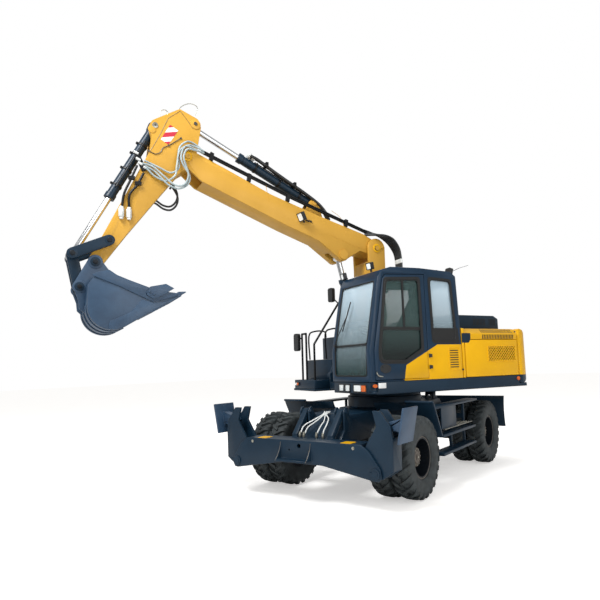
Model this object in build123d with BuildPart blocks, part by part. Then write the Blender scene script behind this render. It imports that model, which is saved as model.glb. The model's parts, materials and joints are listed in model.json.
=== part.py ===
from build123d import *
import os
from math import atan2, cos, degrees, hypot, radians, sin

os.makedirs("parts", exist_ok=True)

# A wheeled excavator of the 16 tonne class, in millimetres.
# The row frame is the chassis frame: +X points to the outrigger end, +Y to the machine's left,
# +Z up, and the origin is on the ground under the slew axis.
# The upper structure is drawn looking along +X and is then turned by SLEW about Z, as it stands.
# Outlines in the boom's plane are (x, z) pairs in the upper structure's own frame.

# Driving dimensions of the undercarriage
SLEW = -26.68
WHEEL_BASE = 2808
FRONT_AXLE_X = 1370
REAR_AXLE_X = FRONT_AXLE_X - WHEEL_BASE
TYRE_RADIUS = 521
TYRE_WIDTH = 268
BEAD_RADIUS = 262
OUTER_TYRE_Y = 1129
DUAL_SPACING = 313
INNER_TYRE_Y = OUTER_TYRE_Y - DUAL_SPACING
HUB_RADIUS = 150
SHAFT_RADIUS = 70
KINGPIN_Y = 570
AXLE_RADIUS = 105
DIFF_RADIUS = 170
NOSE_REACH = 250
FRAME_HALF_WIDTH = 350
FRAME_TOP = 1060
FRAME_MIDDLE_HALF = 480
SPINE_BOTTOM = TYRE_RADIUS + 69
SPINE_OVER_AXLE = TYRE_RADIUS + DIFF_RADIUS + 9
FRAME_FRONT_X = 2030
FRAME_REAR_X = -1820
RING_RADIUS = 560
RING_TOP = 1296
RING_THICKNESS = 76
RING_GAP = 0.5

# Outriggers: pivots of the legs on the beam, and of their cylinders
BEAM_BACK_X = FRAME_FRONT_X
BEAM_DEPTH = 300
BEAM_FRONT_X = BEAM_BACK_X + BEAM_DEPTH
BEAM_PLATE = 28
LEG_PIVOT_Y = 1063
LEG_PIVOT_Z = 472
LEG_GAP = 8
PAD_PIN_Y = 1210
PAD_PIN_Z = 1010
LEG_LUG_Y = 960
LEG_LUG_Z = 700
LEG_CYLINDER_Y = 130
TOW_HOLE_Y = -12
TOW_HOLE_Z = 725
TOW_HOLE_RADIUS = 28
RECESS_HOLE_SPACING = 310
RECESS_HOLE_Z = 670
RECESS_HOLE_RADIUS = 11
LEG_CYLINDER_Z = 610

# Dozer blade
BLADE_PIVOT_X = -1730
BLADE_PIVOT_Z = 440
BLADE_ARM_Y = 265
BLADE_BACK_X = -2330
BLADE_BOTTOM_Z = 500
BLADE_HEIGHT = 560
BLADE_HALF_WIDTH = 1255
BLADE_CYLINDER_BASE = (-1560, 1180)
BLADE_CYLINDER_TIP = (-2255, 700)
BLADE_CYLINDER_Y = 150

# Upper structure
UPPER_BOTTOM = 1305
UPPER_TOP = 1484
DECK_Z = UPPER_TOP - 6
UPPER_HALF_WIDTH = 1252
UPPER_FRONT_X = 1090
UPPER_REAR_X = -2138
BODY_TOP = 2215
BODY_REAR_X = -1740
COUNTERWEIGHT_FRONT_X = -1752
CAB_FRONT_X = 1110
CAB_REAR_X = -545
CAB_RIGHT_Y = 259
CAB_TOP = 3077
CAB_WALL = 60
CAB_FLOOR = 45
FLOOR_Z = DECK_Z + CAB_FLOOR
DOOR_REAR_X = 100
DOOR_HINGE_OUT = 25
DOOR_THICKNESS = 42
DECK_LEFT_Y = -360

# Work equipment: pins in the boom's plane, (x, z)
BOOM_Y = -60
FOOT = (150, 1720)
BOOM_PIVOT = (150, 3600)
ADJUST_BASE = (420, 2120)
ADJUST_TIP = (760, 3460)
LIFT_BASE = (800, 1550)
LIFT_TIP = (200, 2950)
LIFT_OFFSET = 215
ARM_PIVOT = (3232, 4644)
ARM_CYLINDER_BASE = (1217, 4267)
ARM_CYLINDER_TIP = (ARM_PIVOT[0] - 124, ARM_PIVOT[1] + 511)
BUCKET_CYLINDER_BASE = (3658, 5026)
ROCKER_PIN = (4224, 3374)
LINK_PIN = (4644, 3175)
BUCKET_LINK_PIN = (4558, 2768)
BUCKET_PIN = (4383, 3089)
PIN_RADIUS = 38
PIN_CLEARANCE = 0.5
SEAT_GAP = 0.5
EYE_RADIUS = 80
MAIN_PLATE_OUT = 145
MAIN_PLATE_IN = 116
FOOT_HALF = MAIN_PLATE_IN - 6
LOWER_BOOM_HALF = 140
EAR_IN = 195
EAR_OUT = 238
UPPER_BOOM_HALF = 185
FORK_IN = 153
FORK_REACH = 390
ARM_HALF = 145
BUCKET_HALF = 500


# Profiles drawn on a plane and pushed to a thickness

def push(plane, outline, amount, mode=Mode.ADD, grow=0):
    """A closed outline of points, drawn on a plane, grown or shrunk, and extruded along its normal."""
    with BuildSketch(plane) as drawn:
        with BuildLine():
            Polyline(*outline, close=True)
        make_face()
        if grow:
            offset(amount=grow, kind=Kind.INTERSECTION)
    extrude(drawn.sketch, amount=amount, dir=plane.z_dir, mode=mode)


def side_plane(y):
    """The plane at y whose own axes are +X and +Z."""
    return Plane(origin=(0, y, 0), x_dir=(1, 0, 0), z_dir=(0, -1, 0))


def side_plate(outline, y_low, y_high, mode=Mode.ADD, grow=0):
    """An (x, z) outline between two y planes."""
    push(side_plane(y_high), outline, y_high - y_low, mode, grow)


def cross_plate(outline, x_low, x_high, mode=Mode.ADD):
    """A (y, z) outline between two x planes."""
    push(Plane.YZ.offset(x_low), outline, x_high - x_low, mode)


def level_plate(outline, z_low, z_high, mode=Mode.ADD):
    """An (x, y) outline between two heights."""
    push(Plane.XY.offset(z_low), outline, z_high - z_low, mode)


def block(x, y, z, mode=Mode.ADD):
    """A square-edged block between pairs of x, y and z."""
    level_plate([(x[0], y[0]), (x[1], y[0]), (x[1], y[1]), (x[0], y[1])], z[0], z[1], mode)


def bar(start, end, radius, mode=Mode.ADD):
    """A round bar between two points."""
    start = Vector(*start)
    along = Vector(*end) - start
    plane = Plane(origin=start, z_dir=along)
    with BuildSketch(plane) as drawn:
        Circle(radius)
    extrude(drawn.sketch, amount=along.length, dir=plane.z_dir, mode=mode)


def cross_pin(at, radius, y_low, y_high, mode=Mode.ADD):
    """A round pin or hole along Y at an (x, z) place."""
    bar((at[0], y_low, at[1]), (at[0], y_high, at[1]), radius, mode)


def both_sides(low, high, middle=0):
    """A pair of (low, high) spans, one each side of a middle plane."""
    return [(middle + low, middle + high), (middle - high, middle - low)]


def place_at(start, end, distance):
    """The (x, z) point at a distance from start towards end."""
    length = hypot(end[0] - start[0], end[1] - start[1])
    share = distance / length
    return (start[0] + (end[0] - start[0]) * share, start[1] + (end[1] - start[1]) * share)


kept = {}


def keep(solid, name, turned=False):
    """Label a finished piece, turn it with the upper structure if it rides there, and write it."""
    finished = solid.rotate(Axis.Z, SLEW) if turned else solid
    finished.label = name
    export_step(finished, "parts/" + name + ".step")
    kept[name] = finished


# Cylinders of the hydraulics, each a barrel with a gland and a rod with an eye

def barrel_pieces(base, tip, length, radius, rod_radius, centre_y, eye_half, eye_radius=EYE_RADIUS,
                  pin_radius=PIN_RADIUS):
    """A barrel hinged at base and pointing at tip, open for its rod."""
    start = place_at(base, tip, eye_radius * 0.6)
    mouth = place_at(base, tip, length)
    gland = place_at(base, tip, length - 70)
    floor = place_at(base, tip, eye_radius + 40)
    bar((start[0], centre_y, start[1]), (mouth[0], centre_y, mouth[1]), radius)
    bar((gland[0], centre_y, gland[1]), (mouth[0], centre_y, mouth[1]), radius + 9)
    cross_pin(base, eye_radius, centre_y - eye_half, centre_y + eye_half)
    past = place_at(base, tip, length + 20)
    bar((floor[0], centre_y, floor[1]), (past[0], centre_y, past[1]), rod_radius + PIN_CLEARANCE,
        Mode.SUBTRACT)
    cross_pin(base, pin_radius + PIN_CLEARANCE, centre_y - eye_half - 5, centre_y + eye_half + 5,
              Mode.SUBTRACT)


def rod_pieces(base, tip, reach, radius, centre_y, eye_half, eye_radius=EYE_RADIUS):
    """A rod from inside its barrel, reach long from the tip, with a plain round eye."""
    foot = place_at(tip, base, reach)
    neck = place_at(tip, base, eye_radius * 0.5)
    bar((foot[0], centre_y, foot[1]), (neck[0], centre_y, neck[1]), radius)
    cross_pin(tip, eye_radius, centre_y - eye_half, centre_y + eye_half)


# Undercarriage

SPINE_SIDE = [(FRAME_REAR_X, 600), (-1600, SPINE_OVER_AXLE), (-1200, SPINE_OVER_AXLE), (-1050, SPINE_BOTTOM),
              (950, SPINE_BOTTOM), (1100, SPINE_OVER_AXLE), (1640, SPINE_OVER_AXLE), (1820, 520),
              (FRAME_FRONT_X, 520), (FRAME_FRONT_X, 650), (1960, 700), (1700, 1000), (1640, FRAME_TOP),
              (-1500, FRAME_TOP), (FRAME_REAR_X, 700)]
EAR_PIN = (1770, 1105)
EAR_Y = 280
EAR_GAP = 56
EAR_PLATE = 24
EAR_PIN_RADIUS = 30


def ear_pair(pin, lean, middle):
    """Two round-topped ears on the spine with a pin between them, leaning to +X or to -X."""
    x_ear, z_ear = pin
    outline = [(x_ear - lean * 190, 990), (x_ear - lean * 100, 850), (x_ear + lean * 40, 850),
               (x_ear + lean * 62, z_ear), (x_ear + lean * 25, z_ear + 58), (x_ear - lean * 25, z_ear + 58),
               (x_ear - lean * 62, z_ear), (x_ear - lean * 90, FRAME_TOP)]
    for low, high in both_sides(EAR_GAP, EAR_GAP + EAR_PLATE, middle):
        side_plate(outline, low, high)
    cross_pin(pin, EAR_PIN_RADIUS, middle - EAR_GAP - EAR_PLATE - 12, middle + EAR_GAP + EAR_PLATE + 12)


with BuildPart() as chassis_frame:
    side_plate(SPINE_SIDE, -FRAME_HALF_WIDTH, FRAME_HALF_WIDTH)
    # the wide middle that carries the slew ring
    block((-620, 620), (-FRAME_MIDDLE_HALF, FRAME_MIDDLE_HALF), (620, FRAME_TOP))
    bar((0, 0, FRAME_TOP), (0, 0, RING_TOP - RING_THICKNESS), RING_RADIUS + 30)
    bar((0, 0, RING_TOP - RING_THICKNESS), (0, 0, RING_TOP - RING_GAP), RING_RADIUS)
    # ears at each end: struts hold the outrigger beam at one, cylinders the blade at the other
    for sign in (1, -1):
        ear_pair(EAR_PIN, 1, sign * EAR_Y)
        ear_pair(BLADE_CYLINDER_BASE, -1, sign * BLADE_CYLINDER_Y)
    # lugs under the rear end for the blade's arms
    for middle in (BLADE_ARM_Y, -BLADE_ARM_Y):
        for low, high in both_sides(38, 60, middle):
            side_plate([(BLADE_PIVOT_X - 75, BLADE_PIVOT_Z), (BLADE_PIVOT_X, BLADE_PIVOT_Z - 75),
                        (BLADE_PIVOT_X + 75, BLADE_PIVOT_Z), (BLADE_PIVOT_X + 130, 720),
                        (BLADE_PIVOT_X - 80, 720)], low, high)
        cross_pin((BLADE_PIVOT_X, BLADE_PIVOT_Z), PIN_RADIUS, middle - 72, middle + 72)
keep(chassis_frame.part, "chassis_frame")

GUARD_TOP = 2 * TYRE_RADIUS + 163
with BuildPart() as mudguards:
    for side_sign in (1, -1):
        low, high = sorted((side_sign * 850, side_sign * 1262))
        side_plate([(1035, GUARD_TOP - 28), (1035, GUARD_TOP), (1000, GUARD_TOP), (734, 728),
                    (734, 706), (756, 706), (1016, GUARD_TOP - 28)], low, high)
        low, high = sorted((side_sign * FRAME_HALF_WIDTH, side_sign * 862))
        side_plate([(700, 900), (960, 1070), (1016, 1177), (980, 1177), (940, 1100), (700, 990)], low, high)
keep(mudguards.part, "mudguards")

STEP_TABLE = [(-700, 680, 720, 40), (-690, 690, 470, 40), (-830, 930, 1120, 34)]
with BuildPart() as ladders:
    for side_sign in (1, -1):
        inner, outer = side_sign * 1060, side_sign * 1250
        # columns: rear end, front end, top, depth
        for x_low, x_high, z_top, depth in STEP_TABLE:
            block((x_low, x_high), sorted((inner, outer)), (z_top - depth, z_top))
        # stringers at each end and in the middle
        for x_string in (-600, -20, 560):
            block((x_string, x_string + 40), sorted((side_sign * 1070, side_sign * 1110)), (430, 1090))
            block((x_string, x_string + 40), sorted((side_sign * FRAME_MIDDLE_HALF, side_sign * 1090)),
                  (820, 900))
        block((60, 640), sorted((side_sign * 1195, side_sign * 1215)), (780, 1090))
keep(ladders.part, "ladders")


def axle_housing(axle_x, end_y):
    """A banjo housing with its differential and its seats under the spine."""
    centre = (axle_x, TYRE_RADIUS)
    cross_pin(centre, AXLE_RADIUS, -end_y, end_y)
    cross_pin(centre, DIFF_RADIUS, -150, 150)
    toward = -1 if axle_x > 0 else 1
    bar((axle_x, 0, TYRE_RADIUS), (axle_x + toward * NOSE_REACH, 0, TYRE_RADIUS), 62)
    for low, high in both_sides(150, 250):
        block((axle_x - 130, axle_x + 130), (low, high), (TYRE_RADIUS, SPINE_OVER_AXLE))


with BuildPart() as axle_front:
    axle_housing(FRONT_AXLE_X, 560)
    # hub tubes that the wheels turn on
    for y_low, y_high in both_sides(555, 1010):
        cross_pin((FRONT_AXLE_X, TYRE_RADIUS), SHAFT_RADIUS, y_low, y_high)
keep(axle_front.part, "axle_front")

YOKE_LOW = 112
YOKE_HIGH = 150
KINGPIN_RADIUS = 32
with BuildPart() as axle_rear:
    axle_housing(REAR_AXLE_X, 440)
    for sign in (1, -1):
        for z_low in (TYRE_RADIUS + YOKE_LOW, TYRE_RADIUS - YOKE_HIGH):
            block((REAR_AXLE_X - 60, REAR_AXLE_X + 60), sorted((sign * 430, sign * 640)),
                  (z_low, z_low + YOKE_HIGH - YOKE_LOW))
        block((REAR_AXLE_X - 60, REAR_AXLE_X + 60), sorted((sign * 430, sign * 460)),
              (TYRE_RADIUS - YOKE_HIGH, TYRE_RADIUS + YOKE_HIGH))
        bar((REAR_AXLE_X, sign * KINGPIN_Y, TYRE_RADIUS - 200), (REAR_AXLE_X, sign * KINGPIN_Y, TYRE_RADIUS + 200),
            KINGPIN_RADIUS + PIN_CLEARANCE, Mode.SUBTRACT)
keep(axle_rear.part, "axle_rear")

GEARBOX_HALF = 170
with BuildPart() as drive_line:
    block((-GEARBOX_HALF, GEARBOX_HALF), (-160, 160), (SPINE_BOTTOM - 250, SPINE_BOTTOM))
    bar((GEARBOX_HALF, 0, TYRE_RADIUS), (FRONT_AXLE_X - NOSE_REACH, 0, TYRE_RADIUS), 45)
    bar((-GEARBOX_HALF, 0, TYRE_RADIUS), (REAR_AXLE_X + NOSE_REACH, 0, TYRE_RADIUS), 45)
keep(drive_line.part, "drive_line")

# Outriggers, drawn on the front plane as (y, z)
LEG_BACK_X = BEAM_BACK_X + BEAM_PLATE + LEG_GAP
LEG_FRONT_X = BEAM_FRONT_X - BEAM_PLATE - LEG_GAP
LEG_PLATE = 40
LEG_MIDDLE_X = (LEG_BACK_X + LEG_FRONT_X) / 2
BEAM_FACE = [(-1140, 440), (-1110, 392), (-1060, 385), (-300, 508), (330, 508), (1060, 385), (1110, 392),
             (1140, 440), (1130, 520), (990, 715), (880, 790), (-880, 790), (-990, 715), (-1130, 520)]
with BuildPart() as outrigger_beam:
    for x_low in (BEAM_BACK_X, BEAM_FRONT_X - BEAM_PLATE):
        cross_plate(BEAM_FACE, x_low, x_low + BEAM_PLATE)
    block((BEAM_BACK_X, BEAM_FRONT_X), (-870, 870), (762, 790))
    block((BEAM_BACK_X, BEAM_FRONT_X), (-90, 90), (508, 536))
    for y_low, y_high in both_sides(45, 70):
        block((BEAM_BACK_X, BEAM_FRONT_X), (y_low, y_high), (508, 790))
    bar((BEAM_FRONT_X - BEAM_PLATE - 5, TOW_HOLE_Y, TOW_HOLE_Z), (BEAM_FRONT_X + 5, TOW_HOLE_Y, TOW_HOLE_Z),
        TOW_HOLE_RADIUS, Mode.SUBTRACT)
    for y_hole in (TOW_HOLE_Y - RECESS_HOLE_SPACING / 2, TOW_HOLE_Y + RECESS_HOLE_SPACING / 2):
        bar((BEAM_FRONT_X - BEAM_PLATE - 5, y_hole, RECESS_HOLE_Z), (BEAM_FRONT_X + 5, y_hole, RECESS_HOLE_Z),
            RECESS_HOLE_RADIUS, Mode.SUBTRACT)
    for y_pivot in (LEG_PIVOT_Y, -LEG_PIVOT_Y):
        bar((BEAM_BACK_X - 15, y_pivot, LEG_PIVOT_Z), (LEG_BACK_X + LEG_PLATE + 5, y_pivot, LEG_PIVOT_Z),
            PIN_RADIUS)
        bar((LEG_FRONT_X - LEG_PLATE - 5, y_pivot, LEG_PIVOT_Z), (BEAM_FRONT_X + 18, y_pivot, LEG_PIVOT_Z),
            PIN_RADIUS)
        bar((BEAM_FRONT_X, y_pivot, LEG_PIVOT_Z), (BEAM_FRONT_X + 14, y_pivot, LEG_PIVOT_Z), 62)
    for y_base in (LEG_CYLINDER_Y, -LEG_CYLINDER_Y):
        bar((BEAM_BACK_X, y_base, LEG_CYLINDER_Z), (BEAM_FRONT_X, y_base, LEG_CYLINDER_Z), 30)
    # shelf and gussets of the tow recess on the front face
    block((BEAM_FRONT_X, BEAM_FRONT_X + 120), (-300, 160), (545, 565))
    for y_gusset in (-310, 160):
        side_plate([(BEAM_FRONT_X, 545), (BEAM_FRONT_X + 120, 545), (BEAM_FRONT_X + 70, 600),
                    (BEAM_FRONT_X + 20, 690), (BEAM_FRONT_X, 765)], y_gusset, y_gusset + 18)
    # struts from the chassis ears to the beam
    for middle in (EAR_Y, -EAR_Y):
        side_plate([(EAR_PIN[0] - 45, EAR_PIN[1]), (EAR_PIN[0], EAR_PIN[1] + 45),
                    (EAR_PIN[0] + 42, EAR_PIN[1] + 10), (BEAM_BACK_X + 30, 830), (BEAM_BACK_X + 30, 780),
                    (BEAM_BACK_X + 4, 780), (BEAM_BACK_X + 4, 720), (BEAM_BACK_X - 45, 800)],
                   middle - 40, middle + 40)
        cross_pin(EAR_PIN, EAR_PIN_RADIUS + PIN_CLEARANCE, middle - 45, middle + 45, Mode.SUBTRACT)
keep(outrigger_beam.part, "outrigger_beam")

# A leg's outline about its pivot, for the machine's left, as (y, z)
LEG_FACE = [(1010, 425), (1063, 400), (1140, 412), (1275, 500), (1285, 850), (1262, 1010), (1205, 1075),
            (1130, 1180), (1030, 1180), (1075, 1000), (925, 770), (925, 640)]

def mirrored(outline, sign):
    """A (y, z) outline, kept for the left or turned over for the right."""
    return [(sign * y, z) for y, z in outline]


for hand, sign in (("left", 1), ("right", -1)):
    with BuildPart() as outrigger_leg:
        for x_low in (LEG_BACK_X, LEG_FRONT_X - LEG_PLATE):
            cross_plate(mirrored(LEG_FACE, sign), x_low, x_low + LEG_PLATE)
        cross_plate(mirrored([(1255, 520), (1275, 500), (1285, 850), (1281, 880), (1258, 880), (1262, 850)],
                             sign), LEG_BACK_X, LEG_FRONT_X)
        bar((LEG_BACK_X, sign * LEG_LUG_Y, LEG_LUG_Z), (LEG_MIDDLE_X - 60, sign * LEG_LUG_Y, LEG_LUG_Z), 34)
        bar((LEG_MIDDLE_X + 60, sign * LEG_LUG_Y, LEG_LUG_Z), (LEG_FRONT_X, sign * LEG_LUG_Y, LEG_LUG_Z), 34)
        bar((LEG_BACK_X, sign * PAD_PIN_Y, PAD_PIN_Z), (LEG_FRONT_X, sign * PAD_PIN_Y, PAD_PIN_Z), 25)
        bar((LEG_BACK_X - 5, sign * LEG_PIVOT_Y, LEG_PIVOT_Z), (LEG_FRONT_X + 5, sign * LEG_PIVOT_Y,
            LEG_PIVOT_Z), PIN_RADIUS + PIN_CLEARANCE, Mode.SUBTRACT)
    keep(outrigger_leg.part, "outrigger_leg_" + hand)

    with BuildPart() as outrigger_pad:
        # a plate that stands on edge while the leg is up, and its knuckle between the leg's sides
        cross_plate(mirrored([(1450, 1225), (1475, 1220), (1395, 820), (1370, 825)], sign),
                    LEG_MIDDLE_X - 190, LEG_MIDDLE_X + 190)
        cross_plate(mirrored([(PAD_PIN_Y, PAD_PIN_Z - 42), (PAD_PIN_Y - 42, PAD_PIN_Z),
                              (PAD_PIN_Y, PAD_PIN_Z + 42), (1420, 1110), (1435, 1110), (1395, 930),
                              (1385, 930)], sign), LEG_MIDDLE_X - 60, LEG_MIDDLE_X + 60)
        bar((LEG_MIDDLE_X - 65, sign * PAD_PIN_Y, PAD_PIN_Z), (LEG_MIDDLE_X + 65, sign * PAD_PIN_Y,
            PAD_PIN_Z), 25 + PIN_CLEARANCE, Mode.SUBTRACT)
    keep(outrigger_pad.part, "outrigger_pad_" + hand)

    leg_base = Vector(LEG_MIDDLE_X, sign * LEG_CYLINDER_Y, LEG_CYLINDER_Z)
    leg_tip = Vector(LEG_MIDDLE_X, sign * LEG_LUG_Y, LEG_LUG_Z)
    leg_along = (leg_tip - leg_base).normalized()
    with BuildPart() as outrigger_barrel:
        bar(leg_base + leg_along * 30, leg_base + leg_along * 600, 48)
        bar((LEG_MIDDLE_X - 48, leg_base.Y, leg_base.Z), (LEG_MIDDLE_X + 48, leg_base.Y, leg_base.Z), 52)
        bar(leg_base + leg_along * 90, leg_base + leg_along * 620, 30 + PIN_CLEARANCE, Mode.SUBTRACT)
        bar((LEG_MIDDLE_X - 55, leg_base.Y, leg_base.Z), (LEG_MIDDLE_X + 55, leg_base.Y, leg_base.Z),
            30 + PIN_CLEARANCE, Mode.SUBTRACT)
    keep(outrigger_barrel.part, "outrigger_barrel_" + hand)

    with BuildPart() as outrigger_rod:
        bar(leg_tip - leg_along * 700, leg_tip - leg_along * 20, 30)
        bar((LEG_MIDDLE_X - 45, leg_tip.Y, leg_tip.Z), (LEG_MIDDLE_X + 45, leg_tip.Y, leg_tip.Z), 50)
    keep(outrigger_rod.part, "outrigger_rod_" + hand)

# Dozer blade with its arms, behind the rear wheels
with BuildPart() as dozer_blade:
    z_low, z_high = BLADE_BOTTOM_Z, BLADE_BOTTOM_Z + BLADE_HEIGHT
    side_plate([(BLADE_BACK_X - 70, z_low), (BLADE_BACK_X - 40, z_low), (BLADE_BACK_X - 10, z_low + 150),
                (BLADE_BACK_X, z_low + 290), (BLADE_BACK_X - 12, z_low + 430), (BLADE_BACK_X - 45, z_high),
                (BLADE_BACK_X - 75, z_high), (BLADE_BACK_X - 40, z_low + 430),
                (BLADE_BACK_X - 28, z_low + 290), (BLADE_BACK_X - 38, z_low + 150)],
               -BLADE_HALF_WIDTH, BLADE_HALF_WIDTH)
    for middle in (BLADE_ARM_Y, -BLADE_ARM_Y):
        side_plate([(BLADE_PIVOT_X + 70, BLADE_PIVOT_Z), (BLADE_PIVOT_X, BLADE_PIVOT_Z + 70),
                    (BLADE_BACK_X + 60, 640), (BLADE_BACK_X - 20, 760), (BLADE_BACK_X - 20, 560),
                    (BLADE_BACK_X + 60, 500), (BLADE_PIVOT_X, BLADE_PIVOT_Z - 70)], middle - 32, middle + 32)
        cross_pin((BLADE_PIVOT_X, BLADE_PIVOT_Z), PIN_RADIUS + PIN_CLEARANCE, middle - 40, middle + 40,
                  Mode.SUBTRACT)
    for middle in (BLADE_CYLINDER_Y, -BLADE_CYLINDER_Y):
        for low, high in both_sides(42, 62, middle):
            side_plate([(BLADE_CYLINDER_TIP[0] + 60, BLADE_CYLINDER_TIP[1]),
                        (BLADE_CYLINDER_TIP[0], BLADE_CYLINDER_TIP[1] + 60),
                        (BLADE_BACK_X - 20, 860), (BLADE_BACK_X - 20, 600),
                        (BLADE_CYLINDER_TIP[0] + 30, 640)], low, high)
keep(dozer_blade.part, "dozer_blade")

with BuildPart() as blade_barrels:
    for middle in (BLADE_CYLINDER_Y, -BLADE_CYLINDER_Y):
        barrel_pieces(BLADE_CYLINDER_BASE, BLADE_CYLINDER_TIP, 700, 46, 28, middle, 46, 55, EAR_PIN_RADIUS)
keep(blade_barrels.part, "blade_barrels")

with BuildPart() as blade_rods:
    for middle in (BLADE_CYLINDER_Y, -BLADE_CYLINDER_Y):
        rod_pieces(BLADE_CYLINDER_BASE, BLADE_CYLINDER_TIP, 740, 28, middle, 36, 50)
keep(blade_rods.part, "blade_rods")

# Wheels: twin rims on one hub, and a pair of tyres on each
HALF_TYRE = TYRE_WIDTH / 2
TYRE_SECTION = [(BEAD_RADIUS, -85), (BEAD_RADIUS + 60, -HALF_TYRE), (TYRE_RADIUS - 90, -HALF_TYRE),
                (TYRE_RADIUS - 12, -HALF_TYRE + 22), (TYRE_RADIUS, -HALF_TYRE + 60),
                (TYRE_RADIUS, HALF_TYRE - 60), (TYRE_RADIUS - 12, HALF_TYRE - 22),
                (TYRE_RADIUS - 90, HALF_TYRE), (BEAD_RADIUS + 60, HALF_TYRE), (BEAD_RADIUS, 85)]


def turned_about_axle(axle_x, section, mode=Mode.ADD):
    """A ring turned about a wheel's axis from (radius, y) points."""
    with BuildSketch(Plane.YZ.offset(axle_x)) as drawn:
        with BuildLine():
            Polyline(*[(y, TYRE_RADIUS + r) for r, y in section], close=True)
        make_face()
    revolve(drawn.sketch, axis=Axis((axle_x, 0, TYRE_RADIUS), (0, 1, 0)), mode=mode)


WHEELS = [("front_left", FRONT_AXLE_X, 1), ("front_right", FRONT_AXLE_X, -1),
          ("rear_left", REAR_AXLE_X, 1), ("rear_right", REAR_AXLE_X, -1)]
HUB_BORE = SHAFT_RADIUS + PIN_CLEARANCE
BEAD_SEAT = BEAD_RADIUS - 0.3
for corner, axle_x, sign in WHEELS:
    with BuildPart() as tyres:
        for tyre_y in (OUTER_TYRE_Y, INNER_TYRE_Y):
            turned_about_axle(axle_x, [(r, sign * (tyre_y + y)) for r, y in TYRE_SECTION])
    keep(tyres.part, "tyres_" + corner)

    with BuildPart() as rims:
        # rim wells, the two discs, and the hub drum between them
        rim_outline = [(HUB_BORE, 760), (HUB_RADIUS, 760), (HUB_RADIUS, 930), (BEAD_RADIUS - 28, 930),
                       (BEAD_RADIUS - 28, INNER_TYRE_Y - 90), (BEAD_SEAT, INNER_TYRE_Y - 90),
                       (BEAD_SEAT, INNER_TYRE_Y + 90), (BEAD_RADIUS - 14, INNER_TYRE_Y + 90),
                       (BEAD_RADIUS - 14, OUTER_TYRE_Y - 90), (BEAD_SEAT, OUTER_TYRE_Y - 90),
                       (BEAD_SEAT, OUTER_TYRE_Y + 90), (BEAD_RADIUS - 28, OUTER_TYRE_Y + 90),
                       (BEAD_RADIUS - 28, 1000), (HUB_RADIUS, 985), (HUB_RADIUS, 1080),
                       (HUB_RADIUS - 40, 1110), (0, 1110), (0, 1020), (HUB_BORE, 1020)]
        turned_about_axle(axle_x, [(r, sign * y) for r, y in rim_outline])
    keep(rims.part, "rims_" + corner)

for hand, sign in (("left", 1), ("right", -1)):
    with BuildPart() as knuckle:
        block((REAR_AXLE_X - 70, REAR_AXLE_X + 70), sorted((sign * 500, sign * 660)),
              (TYRE_RADIUS - 106, TYRE_RADIUS + 106))
        bar((REAR_AXLE_X, sign * KINGPIN_Y, TYRE_RADIUS - YOKE_HIGH - 12),
            (REAR_AXLE_X, sign * KINGPIN_Y, TYRE_RADIUS + YOKE_HIGH + 12), KINGPIN_RADIUS)
        cross_pin((REAR_AXLE_X, TYRE_RADIUS), SHAFT_RADIUS, *sorted((sign * 650, sign * 1010)))
        # steering arm that points back to the track rod
        block((REAR_AXLE_X - 260, REAR_AXLE_X - 60), sorted((sign * 520, sign * 580)),
              (TYRE_RADIUS - 60, TYRE_RADIUS - 20))
    keep(knuckle.part, "knuckle_" + hand)

# Upper structure

REAR_HALF = [(-1900, UPPER_HALF_WIDTH), (UPPER_REAR_X + 78, UPPER_HALF_WIDTH - 132),
             (UPPER_REAR_X, UPPER_HALF_WIDTH - 452)]
REAR_ARC = REAR_HALF + [(x, -y) for x, y in reversed(REAR_HALF)]
PLAN = [(UPPER_FRONT_X, CAB_RIGHT_Y), (UPPER_FRONT_X, 1160), (1040, UPPER_HALF_WIDTH)] + REAR_ARC + [
    (1000, -UPPER_HALF_WIDTH), (1080, -1130), (UPPER_FRONT_X, DECK_LEFT_Y), (700, DECK_LEFT_Y),
    (700, CAB_RIGHT_Y)]
MAIN_PLATE_SIDE = [(-900, UPPER_BOTTOM + 40), (900, UPPER_BOTTOM + 40), (905, 1590), (800, 1660),
                   (640, 1660), (330, 1760), (240, 1850), (60, 1850), (-60, 1760), (-500, 1620),
                   (-900, DECK_Z)]
FLOOR_PLATE_TOP = UPPER_BOTTOM + 45
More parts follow.
